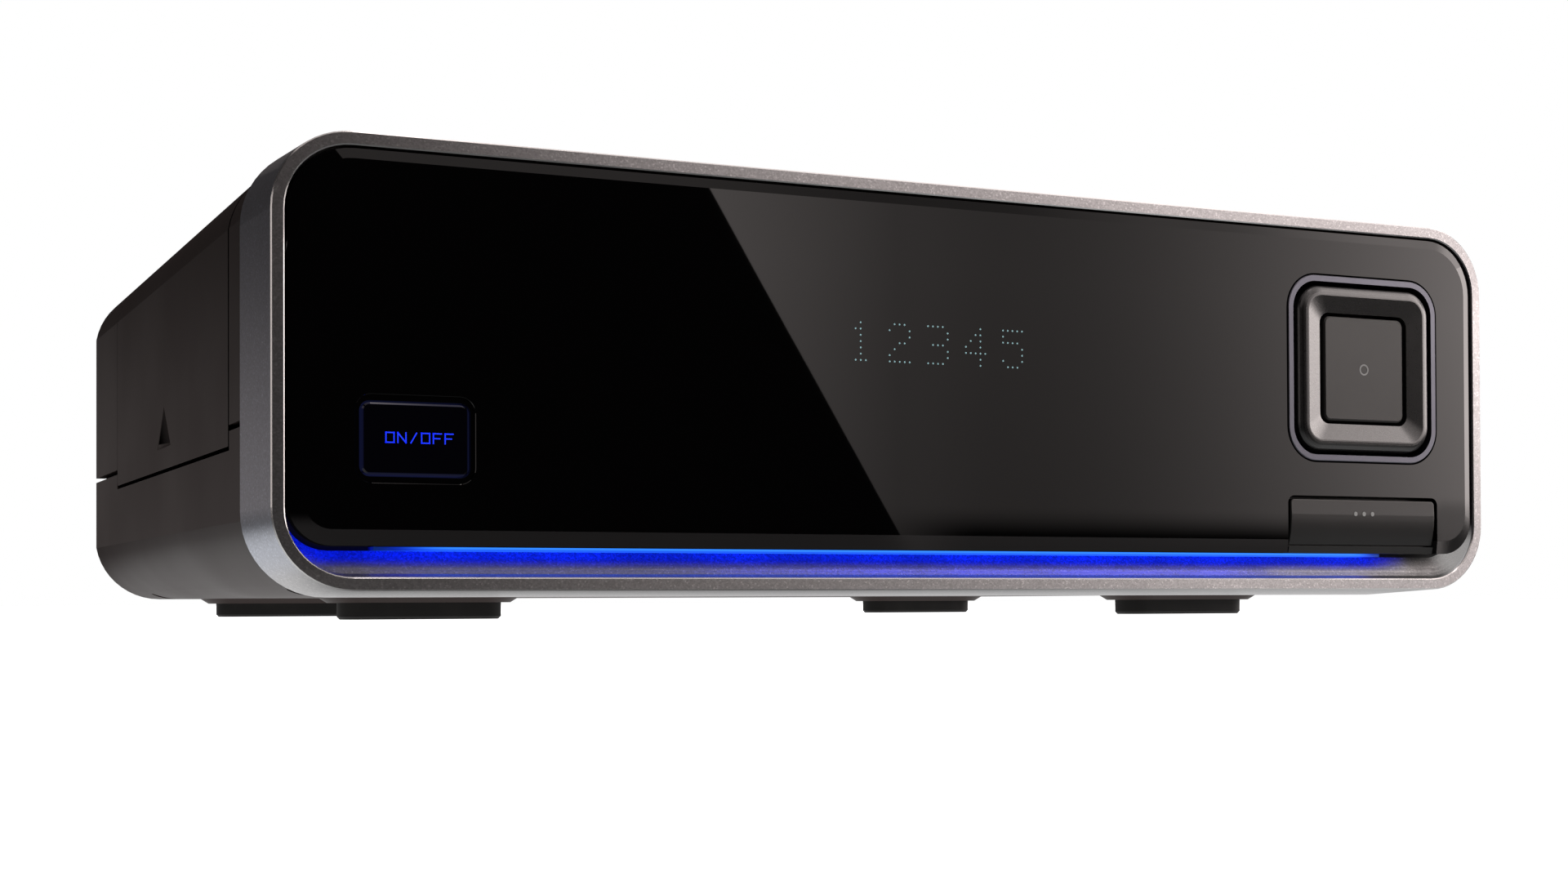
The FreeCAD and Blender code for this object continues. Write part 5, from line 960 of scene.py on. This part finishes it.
def build_bus_contacts(bm):
    """Gilt strips over each flat port's opening."""
    for rise in BUS_RISES:
        middle = inside_port("bus_sockets", BUS_DEPTH, rise)
        roof = surface_at("bus_sockets", middle, (0, 0, 1)).z
        inner = surface_at("bus_sockets", middle, (0, -1, 0)).y
        for x in row_of(STRIP_COUNT, STRIP_PITCH, middle.x):
            brick(bm, x - STRIP_HALF, inner, roof - STRIP_THICK, x + STRIP_HALF, inner + STRIP_REACH, roof)


def build_jack_washers(bm):
    """Coloured washers round the roots of the phono jacks."""
    z, root = board_high.z + JACK_RISE, rear_y + COLLAR_PROUD
    for x in jack_places:
        ring(bm, x, z, WASHER_RADIUS, WASHER_WIDTH, root, root + WASHER_THICK, 48)


def board_is_free(depsgraph, x, y, half_x, half_y):
    """True where only the main board lies below a small rectangle."""
    for i in (-1, 0, 1):
        for j in (-1, 0, 1):
            start = Vector((x + i * (half_x + PROBE_SPARE), y + j * (half_y + PROBE_SPARE),
                            board_high.z + PROBE_HEIGHT))
            hit, place, _, _, made, _ = scene.ray_cast(depsgraph, start, Vector((0, 0, -1)))
            if not hit or made.name != nodes["main_board"].name or abs(place.z - board_high.z) > 0.01 * MM:
                return False
    return True


def build_board_parts(bm):
    """Small chip parts and coils wherever the main board's top is free."""
    maker = random.Random(CHIP_SEED)
    depsgraph = bpy.context.evaluated_depsgraph_get()
    placed = []
    for _ in range(CHIP_TRIES):
        half_x, half_y, tall = (size * MM for size in maker.choice(CHIP_SIZES))
        if maker.random() < 0.5:
            half_x, half_y = half_y, half_x
        x = maker.uniform(board_low.x + CHIP_MARGIN, board_high.x - CHIP_MARGIN)
        y = maker.uniform(board_low.y + CHIP_MARGIN, board_high.y - CHIP_MARGIN)
        near = any(abs(x - a) < half_x + c + CHIP_GAP and abs(y - b) < half_y + d + CHIP_GAP
                   for a, b, c, d in placed)
        if near or not board_is_free(depsgraph, x, y, half_x, half_y):
            continue
        placed.append((x, y, half_x, half_y))
        brick(bm, x - half_x, y - half_y, board_high.z, x + half_x, y + half_y, board_high.z + tall)
        if len(placed) == CHIP_COUNT:
            break


def build_drive_label(bm):
    """A plain foil label on the drive's lid, with rounded corners."""
    lid = surface_at("drive_lid_plate", Vector((*label_middle.xy, cad_high.z)), (0, 0, -1)).z
    outline = []
    for side, end, start in ((1, 1, 0), (-1, 1, 90), (-1, -1, 180), (1, -1, 270)):
        x = label_middle.x + side * (label_half_x - LABEL_CORNER)
        y = label_middle.y + end * (label_half_y - LABEL_CORNER)
        for turn in (math.radians(start + 15 * step) for step in range(7)):
            outline.append((x + LABEL_CORNER * math.cos(turn), y + LABEL_CORNER * math.sin(turn)))
    prism(bm, [(x, y, lid) for x, y in outline], [(x, y, lid + LABEL_THICK) for x, y in outline])


for row in (                  # name, builder, bevel, material, body, the record's material slot
        ("display_dots", build_display, 0.0, "dot_lit", "case", "display_glass"),
        ("power_mark", build_power_mark, 0.0, "legend_blue", "power_button", "guide_acrylic"),
        ("ok_mark", build_ok_mark, 0.0, "legend_grey", "ok_button", "socket_plastic"),
        ("option_mark", build_option_mark, 0.0, "legend_grey", "option_button", "socket_plastic"),
        ("board_parts", build_board_parts, 0.05 * MM, "chip_parts", "case", "chip_black"),
        ("network_contacts", build_network_contacts, 0.0, "contact_gold", "case", "socket_metal"),
        ("bus_contacts", build_bus_contacts, 0.0, "contact_gold", "case", "socket_metal"),
        ("jack_washers", build_jack_washers, 0.1 * MM, "jack_colours", "case", "socket_plastic"),
        ("drive_label", build_drive_label, 0.0, "label_foil", "tray", "drive_cover")):
    piece(*row)


# ---------------------------------------------------------------------------
# Stage: pale floor, white surroundings, soft lights and cards that only reflections see
# ---------------------------------------------------------------------------
FLOOR_REACH = 6.0
CARD_Y = -1.3
CARD_LOW = -0.05
CARD_HIGH = 0.9
CARD_RIGHT = 3.6
CARD_FOOT = -0.02
CANOPY_LEFT = 0.15
CANOPY_BACK = 1.2
CANOPY_HEIGHT = 1.8
EDGE_START = 0.6585           # the slanted edge of the front card is at x = start + slope * z
EDGE_SLOPE = -0.622
GLOW_TINT = (1.0, 0.905, 0.88)
DIM_WORLD = (0.014, 0.012, 0.012, 1)
WHITE_WORLD = (1, 1, 1, 1)
LAMPS = (                     # name, place, what it points at, width and height, watts, tint
    ("key", (1.5, -0.9, 0.75), (0.05, 0, 0.05), (0.9, 0.9), 26.0, (1, 1, 1)),
    ("top", (0.1, 0.1, 1.5), (0, 0, 0), (1.6, 1.2), 9.0, (1, 1, 1)),
    ("side", (-1.6, 0.1, 0.7), (0, 0, 0.05), (0.8, 0.8), 1.5, (1.0, 0.85, 0.82)),
)


def standing(x0, y0, x1, y1, low, high):
    """Corners of an upright card over a line on the floor."""
    return [(x0, y0, low), (x1, y1, low), (x1, y1, high), (x0, y0, high)]


def lying(x0, y0, x1, y1, front_z, back_z):
    """Corners of a card that lies flat or rises to the back."""
    return [(x0, y0, front_z), (x1, y0, front_z), (x1, y1, back_z), (x0, y1, back_z)]


def stage_plane(name, corners, material):
    mesh = bpy.data.meshes.new(name)
    mesh.from_pydata(corners, [], [range(len(corners))])
    made = bpy.data.objects.new(name, mesh)
    scene.collection.objects.link(made)
    mesh.materials.append(material)
    return made


def floor_material():
    """Pale floor.  It looks white, with a faint contact shadow, and lights the object from close by."""
    t = Tree("floor", (0.9, 0.9, 0.9), 0.9, specular=0.0)
    x, y, _ = t.axes()
    away = t.diagonal(t.past(t.math("ABSOLUTE", x), cad_high.x), t.past(t.math("ABSOLUTE", y), cad_high.y))
    steep = t.ramp(t.add("ShaderNodeLayerWeight", Blend=0.5).outputs["Facing"], 0.9, 0.6)
    shadow = t.product(t.ramp(away, 0.08, 0.0), steep)
    cloudy = t.mix(t.ramp(t.noise(9.0), 0.3, 0.7), (0.88, 0.88, 0.88), (0.9, 0.9, 0.9))
    t.wear(Base_Color=cloudy, Emission_Color=(1, 1, 1), Emission_Strength=t.scaled(shadow, -0.6, 1.25))
    shaded = t.product(t.ramp(y, cad_low.y + 0.04, cad_low.y + 0.01), t.ramp(x, -0.145, -0.12, 0.4, 1.0),
                       t.ramp(x, -0.05, 0.15, 0.88, 0.4))
    bounce = t.add("ShaderNodeEmission")
    t.link(t.product(t.ramp(away, 0.0, 0.1, 0.88, 0.05), t.unless(shaded)), bounce.inputs["Strength"])
    choose = t.add("ShaderNodeMixShader")
    seen = t.add("ShaderNodeLightPath").outputs["Is Camera Ray"]
    for out, socket in zip((seen, bounce.outputs[0], t.shader.outputs[0]), choose.inputs):
        t.link(out, socket)
    t.link(choose.outputs[0], t.nodes["Material Output"].inputs["Surface"])
    return t.material


def glow_material(name, level_of):
    """A glowing surface whose brightness is worked out from x, y and z."""
    t = Tree(name)
    t.nodes.clear()
    glow = t.add("ShaderNodeEmission")
    t.feed(GLOW_TINT, glow.inputs["Color"])
    t.feed(level_of(t, *t.axes()), glow.inputs["Strength"])
    t.link(glow.outputs[0], t.add("ShaderNodeOutputMaterial").inputs["Surface"])
    return t.material


def front_card_level(t, x, y, z):
    """A bright band by the slanted edge, then dim, then rising to the right."""
    band = t.total(t.ramp(x, 0.43, 0.62, 0.95, 0.1, smooth=False), t.ramp(x, 0.62, 0.72, 0.1, 0.0))
    beyond = t.past(x, 0.72)
    rise = t.math("MINIMUM", t.product(beyond, beyond, 9.2), 3.2)
    level = t.total(band, rise, t.ramp(x, 1.6, 2.1, 0.44, 3.2))
    low_edge = t.mix_value(t.ramp(x, 0.57, 0.7), 1.0, t.ramp(z, 0.056, 0.086))
    return t.product(level, t.ramp(z, 0.05, 0.28, 0.8, 1.05, smooth=False), low_edge)


def brow_card_level(t, x, y, z):
    """Dim over the left of the panel's upper bevel, then rising to the right."""
    right = t.total(t.ramp(x, 0.85, 1.1, 0.0, 0.5), t.ramp(x, 1.1, 1.4, 0.0, 1.8))
    return t.total(t.ramp(x, 0.5, 0.75, 0.48, 0.3), right, t.ramp(x, 1.6, 2.1, 0.0, 2.0))


def canopy_card_level(t, x, y, z):
    """Bright overhead, then even, then rising to the right."""
    overhead = t.ramp(x, 0.42, 0.28, 0.0, 2.2)
    return t.total(overhead, t.ramp(x, 0.3, 1.2, 0.6, 1.1), t.ramp(x, 1.2, 1.9, 0.0, 1.6))


def reflector(name, corners, level_of):
    """A plane that only mirror-like reflections see."""
    made = stage_plane(name, corners, glow_material(name, level_of))
    made.visible_camera = False
    made.visible_diffuse = False
    made.visible_shadow = False
    made.visible_transmission = False


def area_light(name, place, target, size, watts, tint):
    """A rectangular lamp that no mirror-like reflection shows."""
    data = bpy.data.lights.new(name, "AREA")
    data.shape = "RECTANGLE"
    data.size, data.size_y = size
    data.energy = watts
    data.color = tint
    made = bpy.data.objects.new(name, data)
    scene.collection.objects.link(made)
    made.location = place
    made.rotation_euler = (Vector(target) - Vector(place)).to_track_quat("-Z", "Y").to_euler()
    made.visible_glossy = False


def build_cards():
    front_card = [(EDGE_START + EDGE_SLOPE * CARD_LOW, CARD_Y, CARD_LOW), (CARD_RIGHT, CARD_Y, CARD_LOW),
                  (CARD_RIGHT, CARD_Y, CARD_HIGH), (EDGE_START + EDGE_SLOPE * CARD_HIGH, CARD_Y, CARD_HIGH)]
    reflector("front_card", front_card, front_card_level)
    canopy = lying(CANOPY_LEFT, CARD_Y, CARD_RIGHT, CANOPY_BACK, CANOPY_HEIGHT, CANOPY_HEIGHT)
    reflector("canopy_card", canopy, canopy_card_level)
    reflector("top_card", lying(-0.9, -1.2, 0.14, 0.6, 1.4, 1.5), lambda t, x, y, z: 0.4)
    reflector("back_card", standing(-1.6, 1.5, 0.3, 1.5, CARD_FOOT, 1.0),
              lambda t, x, y, z: t.ramp(z, 0.08, 0.36, 0.3, 0.04))
    brow = standing(-2.2, CARD_Y, CARD_RIGHT, CARD_Y, CARD_HIGH, CANOPY_HEIGHT)
    reflector("brow_card", brow, brow_card_level)
    reflector("left_card", standing(-1.6, -0.9, -1.6, -0.35, CARD_FOOT, 0.7), lambda t, x, y, z: 0.7)
    reflector("right_card", standing(1.7, -0.75, 1.5, 0.5, CARD_FOOT, 0.5),
              lambda t, x, y, z: t.ramp(z, 0.0, 0.25, 2.5, 5.0))


def build_world():
    """White where the camera sees it, and dim for all other light."""
    scene.world = bpy.data.worlds.new("surroundings")
    scene.world.use_nodes = True
    tree = scene.world.node_tree
    level = tree.nodes.new("ShaderNodeMix")
    level.data_type = "RGBA"
    level.inputs[6].default_value = DIM_WORLD
    level.inputs[7].default_value = WHITE_WORLD
    tree.links.new(tree.nodes.new("ShaderNodeLightPath").outputs["Is Camera Ray"], level.inputs[0])
    tree.links.new(level.outputs[2], tree.nodes["Background"].inputs["Color"])


stage_plane("floor", lying(-FLOOR_REACH, -FLOOR_REACH, FLOOR_REACH, FLOOR_REACH, 0, 0), floor_material())
build_cards()
build_world()
for lamp in LAMPS:
    area_light(*lamp)
scene.view_settings.view_transform = "Standard"
